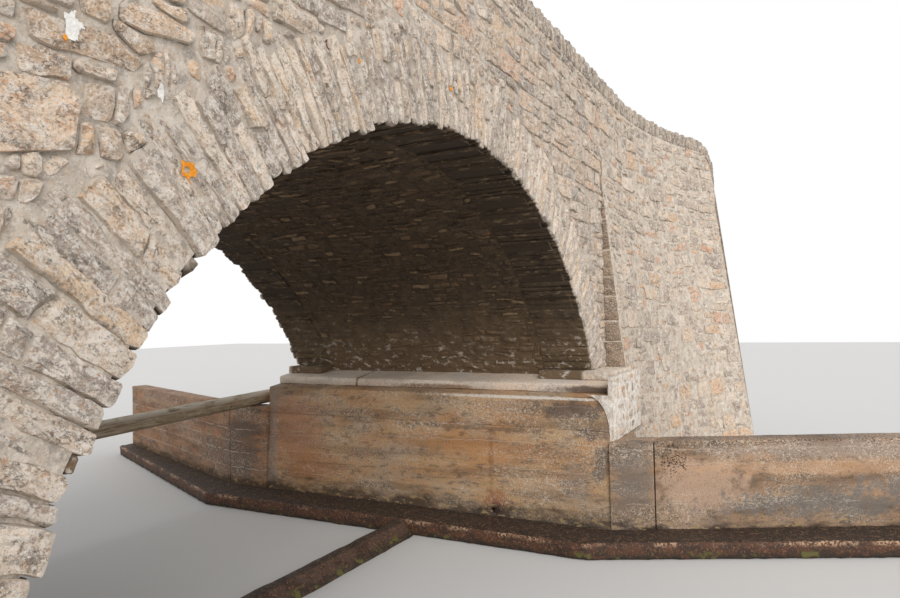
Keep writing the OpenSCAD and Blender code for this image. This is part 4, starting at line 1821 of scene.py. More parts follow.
@dataclass
class FaceRing:
    """One face ring: thin slabs on edge that fan out from the soffit, two or three to a voussoir.

    joint is the mortar between two slabs, snap the share of them that have snapped, thin the range of their
    thickness, nose how far they stand out of the soffit at the crown and at the foot, back how far they
    pass the back of the ring, and backs the angle and the back of each slab that is laid.
    """

    end: End
    joint: float = 0.006
    snap: float = 0.30
    thin: tuple[float, float] = (0.062, 0.150)
    nose: tuple[float, float] = (0.010, 0.028)
    back: tuple[float, float] = (-0.110, 0.030)
    backs: list[tuple[float, float]] = field(default_factory=list)

    # Degrees from the crown at which noses begin to stand out, and over which they come to it in full.
    HAUNCH, HAUNCH_RUN = 30.0, 25.0
    # Most that a nose is rounded off, a joint is skewed and a corner of the back is broken away.
    ROUNDED, SKEWED, BROKEN = 0.015, 0.010, 0.03
    # Degrees on each side over which the backs are averaged.
    AROUND = 1.3
    # Shortfall of a back that is packed, the bed under the packing, and the least areas that are laid.
    PACKED_FROM, BED, PACKING_AREA, SLAB_AREA = 0.045, 0.008, 0.0012, 0.002
    # Degrees from the crown at which slabs have their full thickness, and how far their joints stray.
    THICKEST_AT, STRAY = 75.0, 0.22
    # Where across the ring a slab snaps, how far the crack leans, and half its width.
    SNAP_AT, SNAP_LEAN, CRACK = (0.35, 0.75), 0.35, 0.004
    # Sections of the mortar core, the degrees that it stops short of the feet, and its room at their sides.
    SECTIONS, SHORT, ROOM = 120, 1.2, 0.004

    def slab(self, i: int, low: float, high: float, rng: Random) -> Outline:
        """Outline of one slab, its nose rounded and its back broken off.

        Args:
            i: number of its voussoir.
            low, high: angles of its two joints, in degrees.
            rng: source of chance.
        Returns:
            The outline in X and Z.
        """
        gap = math.degrees(self.joint / 2 / SIZES.ring_r) * rng.uniform(0.6, 1.8)
        low, high = low + gap, high - gap
        width = math.radians(high - low) * SIZES.arch_r
        # Towards the foot the slabs are longer than the ring is deep, and their noses stand out.
        full = min(1.0, max(0.0, (abs(low) - self.HAUNCH) / self.HAUNCH_RUN))
        reach = self.nose[0] + (self.nose[1] - self.nose[0]) * full
        soffit = SIZES.voussoir_soffit(i) - rng.uniform(0.0, reach)
        back = SIZES.voussoir_back(i) + rng.uniform(*self.back)
        self.backs.append(((low + high) / 2, back))
        tip = rng.uniform(0.15, 0.85)
        round_off = min(0.25 * width, self.ROUNDED)
        skew = math.degrees(rng.uniform(-self.SKEWED, self.SKEWED) / SIZES.ring_r)
        return [SIZES.polar(soffit + rng.uniform(0.0, 1.0) * round_off, low),
                SIZES.polar(back - rng.uniform(0.0, self.BROKEN), low + skew),
                SIZES.polar(back - rng.uniform(0.0, self.BROKEN), high + skew),
                SIZES.polar(soffit + rng.uniform(0.0, 1.0) * round_off, high),
                SIZES.polar(soffit, low + (high - low) * tip)]

    def reach(self, angle: float) -> float:
        """Radius that the backs of the slabs round an angle reach."""
        near = [back for at, back in self.backs if abs(at - angle) < self.AROUND]
        return sum(near) / len(near) if near else SIZES.ring_r

    def trimmed(self, outline: Outline, side: Side) -> Outline:
        """Outline cut off over the pad and at the pilaster line."""
        outline = clip(outline, (0.0, -1.0, -(SIZES.pad_top(side) + self.joint)))
        return clip(outline, (float(side.value), 0.0, SIZES.pilaster_x(side) - self.joint))

    def packing(self, rng: Random) -> list[Cell]:
        """Small stones that make up the height behind short slabs.

        Args:
            rng: source of chance.
        Returns:
            One cell for each.
        """
        found = []
        for angle, back in self.backs:
            top = self.reach(angle)
            if top - back < self.PACKED_FROM:
                continue
            half = rng.uniform(0.6, 1.0) * 0.5 * math.degrees(self.thin[0] / SIZES.ring_r)
            foot, low, high = back + self.BED, angle - half, angle + half
            outline = [SIZES.polar(foot, low), SIZES.polar(top, low),
                       SIZES.polar(top - rng.uniform(0.0, 0.02), high), SIZES.polar(foot, high)]
            outline = self.trimmed(outline, Side.at(angle))
            if len(outline) > 2 and abs(area_of(outline)) > self.PACKING_AREA:
                found.append(Cell(outline, math.radians(rng.choice((0.0, 90.0)) - angle)))
        return found

    def cells(self, rng: Random) -> list[Cell]:
        """Slabs of the whole ring.

        Args:
            rng: source of chance.
        Returns:
            One cell for each.
        """
        found = []
        for i in range(SIZES.voussoirs):
            a0, a1 = SIZES.voussoir_angle(i), SIZES.voussoir_angle(i + 1)
            middle = (a0 + a1) / 2
            width = math.radians(a1 - a0) * (SIZES.arch_r + SIZES.ring_t / 2)
            target = self.thin[0] + (self.thin[1] - self.thin[0]) * (middle / self.THICKEST_AT) ** 2
            parts = max(1, round(width / target * rng.uniform(0.8, 1.2)))
            inner = sorted((k + rng.uniform(-self.STRAY, self.STRAY)) / parts for k in range(1, parts))
            edges = [0.0, *inner, 1.0]
            for t0, t1 in zip(edges, edges[1:]):
                low, high = a0 + (a1 - a0) * t0, a0 + (a1 - a0) * t1
                outline = self.trimmed(self.slab(i, low, high, rng), Side.at(middle))
                for part in self.snapped(outline, math.radians((low + high) / 2), rng):
                    if len(part) > 2 and abs(area_of(part)) > self.SLAB_AREA:
                        found.append(Cell(part, math.radians(90 - (low + high) / 2)))
        return found

    def snapped(self, outline: Outline, lean: float, rng: Random) -> list[Outline]:
        """The slab whole, or in two where it has snapped across.

        Args:
            outline: the slab.
            lean: its angle from the crown.
            rng: source of chance.
        Returns:
            One outline or two.
        """
        if rng.random() > self.snap:
            return [outline]
        r = SIZES.arch_r + SIZES.ring_t * rng.uniform(*self.SNAP_AT)
        turn = lean + rng.uniform(-self.SNAP_LEAN, self.SNAP_LEAN)
        a, b = math.sin(turn), math.cos(turn)
        c = a * r * math.sin(lean) + b * (SIZES.centre_h + r * math.cos(lean))
        return [clip(outline, (a, b, c - self.CRACK)), clip(outline, (-a, -b, -c - self.CRACK))]

    def build(self) -> None:
        """Lays the slabs, and the mortar that they are bedded in."""
        rng = Random(41 + self.end.value)
        name = self.end.name.lower()
        work = Stonework(f"ring_slabs_{name}", face_skin(self.end, SIZES.face_y), RING_STONE,
                         "voussoir_stone", levels=SLAB_LEVELS, corner=0.009, longest=0.052, wobble=0.0085,
                         proud=(0.004, 0.030), tilt=0.045, rough=0.018, seed=51 + self.end.value)
        work.build(self.cells(rng), (f"arch_ring_{name}",))
        Stonework(f"ring_packing_{name}", face_skin(self.end, SIZES.face_y), WALL_STONE, "voussoir_stone",
                  levels=SMALL_LEVELS, proud=(0.000, 0.018),
                  seed=56 + self.end.value).build(self.packing(rng))
        self.mortar(name)

    def mortar(self, name: str) -> None:
        """Spins the mortar core of the ring, a little inside the slabs.

        Args:
            name: name of its face.
        """
        bm = bmesh.new()
        # It stands back from the soffit behind the noses, and reaches it further in.
        low, deep, high = SIZES.arch_r + 0.032, SIZES.arch_r + 0.004, SIZES.ring_r + 0.052
        front, mid, back = (self.end.value * (SIZES.face_y + y) for y in (0.001, -0.070, -SIZES.face_t))
        section = ((front, low), (front, high), (back, high), (back, deep), (mid, deep), (mid, low))
        profile = bm.faces.new([bm.verts.new((0.0, y, SIZES.centre_h + r)) for y, r in section])
        start = self.SHORT - SIZES.foot_angle(Side.LEFT)
        stop = SIZES.foot_angle(Side.RIGHT) - self.SHORT
        bmesh.ops.rotate(bm, verts=bm.verts, cent=(0, 0, SIZES.centre_h),
                         matrix=Matrix.Rotation(math.radians(start), 3, "Y"))
        bmesh.ops.spin(bm, geom=[profile] + list(profile.edges) + list(profile.verts),
                       cent=(0, 0, SIZES.centre_h), axis=(0, 1, 0), angle=math.radians(stop - start),
                       steps=self.SECTIONS, use_duplicate=False)
        bmesh.ops.remove_doubles(bm, verts=bm.verts, dist=1e-5)
        bmesh.ops.holes_fill(bm, edges=[e for e in bm.edges if len(e.link_faces) == 1], sides=0)
        for side in Side:
            for co, no in (((0, 0, SIZES.pad_top(side)), (0, 0, -1)),
                           ((side.value * (SIZES.pilaster_x(side) - self.ROOM), 0, 0), (side.value, 0, 0))):
                part = [f for f in bm.faces if f.calc_center_median().x * side.value > 1.0]
                geom = [*part, *{e for f in part for e in f.edges}, *{v for f in part for v in f.verts}]
                cut = bmesh.ops.bisect_plane(bm, geom=geom, plane_co=co, plane_no=no, clear_outer=True)
                rim = [e for e in cut["geom_cut"] if isinstance(e, bmesh.types.BMEdge)]
                bmesh.ops.holes_fill(bm, edges=[e for e in rim if e.is_valid], sides=0)
        finished(f"ring_mortar_{name}", bm, RING_MORTAR)


@dataclass
class Soffit:
    """Underside of the vault: thin rubble on edge in courses along the barrel, damp and sooty, and drawn
    darker as painted shade.
    """

    layout: RubbleLayout = field(default_factory=lambda: RubbleLayout(
        course=(0.040, 0.110), length=(0.07, 0.30), joint=(0.010, 0.034), stray=0.045, lean=0.030, split=0.12,
        least=0.020))

    # Distance that the stones keep from the springings.
    CLEAR = 0.01

    def build(self) -> None:
        """Lays the soffit between the two face rings."""
        rng = Random(61)
        ends = [SIZES.arch_r * math.acos((SIZES.springing(s) - SIZES.centre_h) / SIZES.arch_r) for s in Side]
        inner = SIZES.face_y - SIZES.face_t
        cells = self.layout.cells(-inner, inner, self.CLEAR - ends[1], ends[0] - self.CLEAR, rng)
        Stonework("soffit_rubble", vault_skin(), SOFFIT_STONE, "soffit_rubble", levels=SMALL_LEVELS,
                  corner=0.009, longest=0.10, wobble=0.008, proud=(-0.013, 0.018), tilt=0.07, rough=0.018,
                  seed=62).build(cells)


@dataclass
class Wing(Corner):
    """One wing wall: its battered and warped face, its back, the strip beside the ring and its end."""

    layout: RubbleLayout = field(default_factory=lambda: RubbleLayout(
        course=(0.12, 0.30), length=(0.16, 0.50), joint=(0.010, 0.034), stray=0.075, lean=0.045, split=0.5))

    # Places on the rounded end, as shares of its run, at which the stones are cut along its slope.
    ROUNDINGS = (0.35, 0.65, 0.85, 0.97)
    # Overlap of the stones at the back with the fill.
    OVERLAP = 0.05
    # Foot of the end's blocks, least room for one more, their height, where a pair meets, and their joints.
    END_FOOT, END_SPARE, END_COURSE, END_SPLIT = 0.01, 0.12, (0.16, 0.30), (0.35, 0.65)
    END_GAP, END_BED = 0.01, 0.008
    # For the strip beside the ring too: foot, room, height, joints at its back and its front, least widths.
    STRIP_FOOT, STRIP_SPARE, STRIP_COURSE = 0.02, 0.15, (0.24, 0.46)
    STRIP_BED, STRIP_GAP, STRIP_LEAST = 0.002, 0.004, (0.012, 0.010)

    def shoulder_limits(self, length: float) -> Callable[[float, float], list[HalfPlane]]:
        """Half-planes under the rounded end of the wall.

        Args:
            length: length of the surface.
        Returns:
            What gives them for a stone's middle.
        """
        run, drop = SIZES.shoulder_run, SIZES.wall_drop
        planes = []
        for d in self.ROUNDINGS:
            slope = drop * d / math.sqrt(1 - d * d) / run
            u, v = length - run + d * run, SIZES.coping_base - drop * (1 - math.sqrt(1 - d * d))
            planes.append((slope, 1.0, slope * u + v))

        def limits(u: float, v: float) -> list[HalfPlane]:
            """The same half-planes everywhere."""
            return planes
        return limits

    def build(self) -> None:
        """Lays the wing's stones."""
        rng = Random(71 + self.number)
        front = WingLine(self.side, SIZES.foot_offset, 0.0, SIZES.batter_top)
        cells = self.layout.cells(0.0, front.length, 0.0, SIZES.coping_base, rng,
                                  self.shoulder_limits(front.length))
        Stonework(f"wing_rubble_{self.name}", front.skin(self.end, 1.0), WING_STONE, "granite_rubble",
                  corner=0.020, wobble=0.010, proud=(-0.006, 0.015), rough=0.020,
                  seed=81 + self.number).build(cells)
        inner = WingLine.upright(self.side, SIZES.parapet_t)
        cells = self.layout.cells(0.0, inner.length, SIZES.inner_foot, SIZES.coping_base, rng,
                                  self.shoulder_limits(inner.length))
        Stonework(f"wing_road_side_{self.name}", inner.skin(self.end, -1.0), WALL_STONE, "granite_rubble",
                  levels=SMALL_LEVELS, seed=91 + self.number).build(cells)
        self.back(rng)
        self.cheek(rng)
        self.return_strip(rng)

    def back(self, rng: Random) -> None:
        """Lays the back of the wall's end, past the fill.

        Args:
            rng: source of chance.
        """
        rear = WingLine.upright(self.side, SIZES.face_t)
        coarse = RubbleLayout(length=(0.18, 0.40), joint=(0.012, 0.034))
        start = rear.length - SIZES.fill_short - self.OVERLAP
        cells = coarse.cells(start, rear.length, 0.0, SIZES.body_top, rng)
        Stonework(f"wing_back_{self.name}", rear.skin(self.end, -1.0), WALL_STONE, "granite_rubble",
                  levels=SMALL_LEVELS, seed=101 + self.number).build(cells)

    def cheek(self, rng: Random) -> None:
        """Lays the end of the wall, in blocks that reach across it.

        Args:
            rng: source of chance.
        """
        side, end = self.side.value, self.end.value
        foot = SIZES.foot_offset(2.0)

        def front(v: float) -> float:
            """Offset of the front edge at a height."""
            return foot * max(0.0, 1 - v / SIZES.batter_top)

        def at(u: float, v: float) -> Vector:
            """Point of the wall's end."""
            x, y = SIZES.wing_point(self.side, front(v) + u, 2.0)
            return Vector((side * x, end * (SIZES.face_y - y), v))
        cells, v = [], self.END_FOOT
        while v < SIZES.body_top - self.END_SPARE:
            h = min(rng.uniform(*self.END_COURSE), SIZES.body_top - v)
            width = SIZES.face_t - front(v + h)
            split = width * rng.uniform(*self.END_SPLIT)
            for u0, u1 in ((0.0, split), (split, width)):
                low, high = v + self.END_BED, v + h - self.END_BED
                cells.append(Cell(rectangle(u0 + self.END_GAP, u1 - self.END_GAP, low, high)))
            v += h
        Stonework(f"wing_end_{self.name}", Skin(at, -side * end), WALL_STONE, "granite_rubble",
                  levels=SMALL_LEVELS, seed=111 + self.number).build(cells)

    def return_strip(self, rng: Random) -> None:
        """Lays the narrow strip at which the battered wing stands forward of the ring.

        Args:
            rng: source of chance.
        """
        side, end = self.side.value, self.end.value
        x = SIZES.pilaster_x(self.side)

        def at(u: float, v: float) -> Vector:
            """Point of the strip."""
            return Vector((side * x, end * (SIZES.face_y + u), v))

        def width(v: float) -> float:
            """Width of the strip at a height."""
            return SIZES.foot_out * (1 - v / SIZES.batter_top)
        cells, v, bed = [], self.STRIP_FOOT, self.STRIP_BED
        while v < SIZES.batter_top - self.STRIP_SPARE:
            h = rng.uniform(*self.STRIP_COURSE)
            low = max(self.STRIP_LEAST[0], width(v) - self.STRIP_GAP)
            high = max(self.STRIP_LEAST[1], width(v + h) - self.STRIP_GAP)
            cells.append(Cell([(bed, v + bed), (low, v + bed), (high, v + h - bed), (bed, v + h - bed)]))
            v += h
        Stonework(f"return_strip_{self.name}", Skin(at, -side * end), RETURN_STONE, "granite_rubble",
                  levels=SMALL_LEVELS, corner=0.005, wobble=0.002, proud=(0.004, 0.010), tilt=0.01,
                  rough=0.006, seed=121 + self.number).build(cells)


COPING_LEVELS = (Level(-0.430, 0.014), Level(-0.416), Level(-0.300), Level(-0.160), Level(-0.026),
                 Level(-0.004, 0.008, bare=0.7), Level(0.004, 0.012, 0.35, 1.0))


@dataclass
class Coping:
    """Cock-and-hen coping of one face: upright slabs side by side, bedded in mortar."""

    end: End
    gap: float = 0.008

    # How far a slab leans, and how far its top strays.
    LEAN, TOP = 0.006, (-0.016, 0.004)
    # Share of the slabs' height that the mortar between them has, the distance between its sections on the
    # straight and round a curve, and how far it stops short of a wing's end.
    MORTAR, SECTION, CURVED_SECTION, SHORT = 0.80, 0.25, 0.06, 0.03

    def slab(self, u0: float, u1: float, low: Point, high: Point, rng: Random) -> Cell:
        """One slab between two joints.

        Args:
            u0, u1: the joints.
            low, high: heights of its base and its top at both.
            rng: source of chance.
        Returns:
            Its cell.
        """
        lean = rng.uniform(-self.LEAN, self.LEAN)
        g = self.gap * rng.uniform(0.3, 1.0) / 2
        tops = [h + rng.uniform(*self.TOP) for h in high]
        return Cell([(u0 + g, low[0]), (u1 - g, low[1]), (u1 - g + lean, tops[1]), (u0 + g + lean, tops[0])],
                    math.pi / 2)

    def work(self, name: str, skin: Skin, seed: int) -> Stonework:
        """Stonework of one run of coping."""
        return Stonework(name, skin, COPING_STONE, "coping_stone", levels=COPING_LEVELS, corner=0.016,
                         longest=0.10, wobble=0.004, proud=(-0.012, 0.010), tilt=0.03, rough=0.008, seed=seed)

    def build(self) -> None:
        """Lays the straight coping and both wings'."""
        rng = Random(131 + self.end.value)
        left, right = SIZES.pilaster_x(Side.LEFT), SIZES.pilaster_x(Side.RIGHT)
        count = max(4, round((left + right) / SIZES.coping_pitch))
        step, base = (left + right) / count, SIZES.coping_base
        cells = [self.slab(i * step - left, (i + 1) * step - left, (base, base),
                           (base + SIZES.slab_rise(i),) * 2, rng) for i in range(count)]
        name = self.end.name.lower()
        skin = face_skin(self.end, SIZES.face_y + SIZES.coping_out)
        self.work(f"coping_slabs_{name}", skin, 141 + self.end.value).build(cells, (f"coping_{name}",))
        mortar_strip(f"coping_mortar_{name}", skin, -left, right,
                     lambda u: (base, base + SIZES.coping_h * self.MORTAR), self.SECTION)
        for side in Side:
            self.wing(side, rng)

    def wing(self, side: Side, rng: Random) -> None:
        """Lays the coping of one wing, which rounds down at its end.

        Args:
            side: the right or left wing.
            rng: source of chance.
        """
        plan = WingLine.upright(side, -SIZES.coping_out)
        wall_drop = SIZES.wall_drop
        coping_drop = wall_drop + SIZES.coping_h - SIZES.end_cap_t
        joints = SIZES.slab_joints(side)

        def span(station: float) -> float:
            """Distance along the wing at a station.

            Args:
                station: the station.
            Returns:
                The distance.
            """
            low, high = 0.0, plan.length
            for _ in range(30):
                middle = (low + high) / 2
                low, high = (middle, high) if plan.station(middle, 0.5) < station else (low, middle)
            return low

        def heights(station: float, short: float) -> Point:
            """Heights of the coping at a station.

            Args:
                station: the station.
                short: shortfall of a slab at its full height.
            Returns:
                Height of the base and of the top.
            """
            base = SIZES.coping_base - SIZES.shoulder(station, wall_drop)
            top = SIZES.coping_base + SIZES.coping_h - SIZES.shoulder(station, coping_drop)
            return base, top - short * (top - base) / SIZES.coping_h
        cells = []
        for i, (s0, s1) in enumerate(zip(joints, joints[1:])):
            short = SIZES.coping_h - SIZES.slab_rise(i)
            a, b = heights(s0, short), heights(s1, short)
            cells.append(self.slab(span(s0), span(s1), (a[0], b[0]), (a[1], b[1]), rng))
        corner = Corner(side, self.end)
        skin = plan.skin(self.end, 1.0)
        self.work(f"wing_coping_slabs_{corner.name}", skin, 151 + corner.number).build(
            cells, (f"wing_coping_{corner.name}",))
        mortar_strip(f"wing_coping_mortar_{corner.name}", skin, 0.0, plan.length - self.SHORT,
                     lambda u: heights(plan.station(u, 0.5), SIZES.coping_h * 0.2), self.CURVED_SECTION)


def mortar_strip(name: str, skin: Skin, u0: float, u1: float, heights: Callable[[float], Point],
                 spacing: float) -> None:
    """Makes the mortar between the slabs of a coping, a little inside them.

    Args:
        name: name of the piece.
        skin: skin of the coping's outer face.
        u0, u1: where it starts and ends.
        heights: its base and top at a place.
        spacing: distance between its sections.
    """
    back, thick, stray = -0.414, 0.398, 0.006
    bm = bmesh.new()
    bmesh.ops.create_cube(bm, size=1.0)
    bmesh.ops.translate(bm, verts=bm.verts, vec=(0.5, 0.5, 0.5))
    steps = max(2, round((u1 - u0) / spacing))
    slice_through(bm, 0, (i / steps for i in range(1, steps)))
    for vert in bm.verts:
        u = u0 + (u1 - u0) * vert.co.x
        low, high = heights(u)
        bump = noise.noise(Vector((u * 6, vert.co.y * 3, vert.co.z * 3))) * stray
        vert.co = skin.place(u, low + (high - low) * vert.co.y, back + thick * vert.co.z + bump)
    finished(name, bm, WALL_MORTAR)


@dataclass
class AgedCopy:
    """A worn copy of a CAD node: its arrises rounded and its surfaces gently uneven.

    arris is how far they are worn back, spacing the distance between cuts along X, Y and Z, rough how far the
    surface strays, and grain how many bumps it has to a metre.
    """

    name: str
    node: str
    finish: Finish
    slot: str
    arris: float = 0.018
    spacing: tuple[float, float, float] = (0.30, 0.30, 0.30)
    rough: float = 0.006
    grain: float = 5.0

    # Angle in degrees from which an edge is an arris, and the shortest one that is worn.
    ARRIS_FROM, SHORTEST = 25, 0.05

    def build(self) -> bpy.types.Object:
        """Builds the worn copy.

        Returns:
            The object, which stands for the node.
        """
        bm = bmesh.new()
        bm.from_mesh(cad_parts[self.node].data)
        bmesh.ops.remove_doubles(bm, verts=bm.verts, dist=2e-5)
        bmesh.ops.dissolve_limit(bm, angle_limit=math.radians(0.5), verts=bm.verts[:], edges=bm.edges[:])
        sharp = [e for e in bm.edges if len(e.link_faces) == 2 and e.calc_length() > self.SHORTEST
                 and e.calc_face_angle(0.0) > math.radians(self.ARRIS_FROM)]
        bmesh.ops.bevel(bm, geom=sharp, offset=self.arris, offset_type="OFFSET", segments=2, profile=0.5,
                        affect="EDGES", material=-1, clamp_overlap=True)
        low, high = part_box(self.node)
        for axis, step in enumerate(self.spacing):
            start, run = low[axis], high[axis] - low[axis]
            count = int(run / step)
            slice_through(bm, axis, (start + run * i / (count + 1) for i in range(1, count + 1)))
        bm.normal_update()
        moves = {v: v.normal * self.unevenness(v.co) for v in bm.verts}
        for vert, move in moves.items():
            vert.co += move
            vert.co.z = max(0.0, vert.co.z)
        return finished(self.name, bm, self.finish, (self.node,), crease=50.0)

    def unevenness(self, at: Vector) -> float:
        """How far the surface strays at a point."""
        return (noise.noise(at * self.grain) + 0.5 * noise.noise(at * self.grain * 3.1)) * self.rough


@dataclass
class Log:
    """The round timber laid across the channel: tapered, a little bent, with knots and sawn ends."""

    name: str = "barked_pole"
    rings: int = 90
    around: int = 40

    # Number of knots, how far one stands out, and how far it reaches, in metres along and in radians round.
    KNOTS, KNOT_OUT, KNOT_LENGTH, KNOT_WIDTH = 16, (0.006, 0.014), 0.05, 0.45
    # How far its middle stands out of line.
    BOW = 0.012

    def build(self) -> None:
        """Builds the log in the place of the CAD pole."""
        low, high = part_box("channel_pole")
        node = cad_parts["channel_pole"]
        left = [v.co for v in node.data.vertices if v.co.x < low.x + 0.05]
        right = [v.co for v in node.data.vertices if v.co.x > high.x - 0.05]
        a, b = sum(left, Vector()) / len(left), sum(right, Vector()) / len(right)
        ra, rb = max((p - a).length for p in left), max((p - b).length for p in right)
        axis = (b - a).normalized()
        bm = bmesh.new()
        grain = bm.verts.layers.float_vector.new("grain")
        length = (b - a).length
        bmesh.ops.create_cone(bm, cap_ends=True, segments=self.around, radius1=ra, radius2=rb, depth=length)
        ends = [e for e in bm.edges if e.calc_face_angle(0.0) > 1.0]
        bmesh.ops.bevel(bm, geom=ends, offset=0.008, offset_type="OFFSET", segments=2, profile=0.5,
                        affect="EDGES", material=-1, clamp_overlap=True)
        slice_through(bm, 2, (length * (i / self.rings - 0.5) for i in range(1, self.rings)))
        rng = Random(172)
        knots = [(rng.uniform(-0.45, 0.45) * length, rng.uniform(-math.pi, math.pi),
                  rng.uniform(*self.KNOT_OUT)) for _ in range(self.KNOTS)]
        for vert in bm.verts:
            x, y, z = vert.co
            r, turn = math.hypot(x, y), math.atan2(y, x)
            vert[grain] = Vector((z, turn * ra, r))
            swell = 1 + 0.035 * noise.noise(Vector((math.cos(turn), math.sin(turn), z * 1.3)))
            swell += 0.015 * noise.noise(Vector((math.cos(turn) * 4, math.sin(turn) * 4, z * 3)))
            for along, around, size in knots:
                round_it = math.atan2(math.sin(turn - around), math.cos(turn - around))
                d = math.hypot((z - along) / self.KNOT_LENGTH, round_it / self.KNOT_WIDTH)
                swell += size / ra * math.exp(-d * d)
            bow = self.BOW * math.sin(math.pi * (z / length + 0.5))
            vert.co = (x * swell, y * swell + bow, z)
        turn = axis.to_track_quat("Z", "Y").to_matrix()
        bmesh.ops.rotate(bm, verts=bm.verts, cent=(0, 0, 0), matrix=turn)
        bmesh.ops.translate(bm, verts=bm.verts, vec=(a + b) / 2)
        finished(self.name, bm, TIMBER, ("channel_pole",))


@dataclass
class Apron:
    """Mortar and small stones laid over the near end of the right abutment, where the wing meets it.

    toe_x and end_y are the corner of the abutment that it starts from, low and high its foot and its head,
    reach its length along the wall and thick its thickness.
    """

    toe_x: float = 2.672
    end_y: float = 2.620
    low: float = 1.10
    high: float = 1.80
    reach: float = 1.35
    thick: float = 0.030

    # Height of the ledge that the fillet hangs under, half axes of its hollow along the channel and down, and
    # how finely it is divided.
    LEDGE_H, ACROSS, DROP, STEPS = 0.165, 0.26, 0.43, 12
    # How far it runs past the end of the abutment and into its face.
    PAST, INTO = 0.02, 0.02
    # Where the channel face of the abutment stands at the bed, and how far it leans back over which height.
    FACE_X, LEAN_X, LEAN_H = 2.6, 0.090, 1.565

    def build(self) -> None:
        """Lays the apron on the end of the abutment and the fillet on its channel face."""
        self.slab()
        self.fillet()
        layout = RubbleLayout(course=(0.10, 0.19), length=(0.12, 0.26), joint=(0.012, 0.030), split=0.3)
        cells = layout.cells(self.toe_x + 0.02, self.toe_x + self.reach, self.low, self.high, Random(181))
        Stonework("apron_stones", face_skin(End.NEAR, self.end_y + self.thick), WING_STONE, "granite_rubble",
                  levels=SMALL_LEVELS, corner=0.018, proud=(-0.008, 0.010), seed=182).build(cells)

    def slab(self) -> None:
        """Makes the mortar on the end of the abutment, thinning out upwards."""
        bm = bmesh.new()
        bmesh.ops.create_cube(bm, size=1.0)
        for axis, steps in ((0, 14), (2, 9)):
            slice_through(bm, axis, (i / steps - 0.5 for i in range(1, steps)))
        for vert in bm.verts:
            s, t, h = vert.co.x + 0.5, vert.co.y + 0.5, vert.co.z + 0.5
            stray = noise.noise(Vector((s * 9, t, h * 6))) * 0.016
            out = self.thick * (1.2 - t * 1.6)
            vert.co = (self.toe_x + self.reach * s + stray, -self.end_y - out + stray * (1 - t),
                       self.low + (self.high - self.low) * h + stray)
        finished("apron_mortar", bm, APRON_MORTAR, crease=60.0)

    def fillet(self) -> None:
        """Makes the quarter of mortar under the end of the ledge, hollow towards the channel wall."""
        bm = bmesh.new()
        bmesh.ops.create_grid(bm, x_segments=self.STEPS, y_segments=4, size=0.5)
        bmesh.ops.solidify(bm, geom=bm.faces[:], thickness=0.5)
        top = SIZES.springing(Side.RIGHT) - self.LEDGE_H
        middle = Vector((-self.end_y + self.ACROSS, top - self.DROP))
        corner = Vector((-self.end_y - self.PAST, top))
        for vert in bm.verts:
            a, b = math.radians(90) * (vert.co.x + 0.5), vert.co.y + 0.5
            arc = middle + Vector((-self.ACROSS * math.sin(a), self.DROP * math.cos(a)))
            edge = corner if b > 0.99 else arc.lerp(corner, b)
            stray = noise.noise(Vector((edge.x * 12, edge.y * 12, 3.0))) * 0.012
            face = self.FACE_X + self.LEAN_X * edge.y / self.LEAN_H
            # The points of the front thin out from the corner to the hollow.
            x = face - (0.004 + 0.016 * (0.5 + 0.5 * b)) if abs(vert.co.z) > 0.25 else face + self.INTO
            vert.co = (x, edge.x + stray, edge.y + stray)
        bmesh.ops.remove_doubles(bm, verts=bm.verts, dist=1e-4)
        finished("apron_fillet", bm, APRON_MORTAR, crease=60.0)


@dataclass(frozen=True)
class LichenPatch:
    """A patch of crust lichen on the near face: its place, half sizes, finish and bare middle."""

    x: float
    z: float
    across: float
    up: float
    finish: Finish
    hole: float = -1.0


LICHENS = (
    LichenPatch(-2.739, 3.128, 0.040, 0.046, ORANGE_LICHEN, 0.22),
    LichenPatch(-3.293, 3.499, 0.011, 0.012, ORANGE_LICHEN),
    LichenPatch(-1.439, 4.025, 0.014, 0.020, ORANGE_LICHEN),
    LichenPatch(-0.273, 4.195, 0.016, 0.026, ORANGE_LICHEN),
    LichenPatch(-3.262, 3.550, 0.038, 0.052, WHITE_LICHEN),
    LichenPatch(-2.869, 3.430, 0.018, 0.040, WHITE_LICHEN))


@dataclass
class Lichens:
    """Crust lichens draped over the stones of the near face."""

    patches: tuple[LichenPatch, ...]

    # Pieces that they grow on.
    UNDER = ("ring_slabs_near", "face_rubble_near", "ring_packing_near")
    # Squares each way, how much wider than the patch their grid is, and how ragged the patch's edge is.
    SQUARES, GRID, RAGGED = 18, 1.25, 0.5
    # How deep a patch follows the stones, and how thick it is.
    DEEP, THICK = 0.020, 0.004

    def build(self) -> None:
        """Drapes each patch over the stones behind it."""
        trees = []
        for name in self.UNDER:
            mesh = bpy.data.objects[name].data
            trees.append(bvhtree.BVHTree.FromPolygons([v.co for v in mesh.vertices],
                                                      [p.vertices[:] for p in mesh.polygons]))
        for number, patch in enumerate(self.patches):
            bm = bmesh.new()
            bmesh.ops.create_grid(bm, x_segments=self.SQUARES, y_segments=self.SQUARES, size=self.GRID)
            own = Vector((0, 0, 7.3 * number))
            away = {v: v.co.length * (1 + self.RAGGED * noise.noise(v.co * 1.7 + own)) for v in bm.verts}
            bare = [v for v in bm.verts if not patch.hole < away[v] < 1]
            bmesh.ops.delete(bm, geom=bare, context="VERTS")
            for vert in bm.verts:
                at = Vector((patch.x + vert.co.x * patch.across, -3.0, patch.z + vert.co.y * patch.up))
                hits = [tree.ray_cast(at, Vector((0, 1, 0)))[0] for tree in trees]
                vert.co = (at.x, min([hit.y for hit in hits if hit is not None], default=-SIZES.face_y), at.z)
            middle = sorted(v.co.y for v in bm.verts)[len(bm.verts) // 2]
            for vert in bm.verts:
                vert.co.y = max(middle - self.DEEP, min(middle, vert.co.y)) - self.THICK
            finished(f"lichen_{number}", bm, patch.finish)


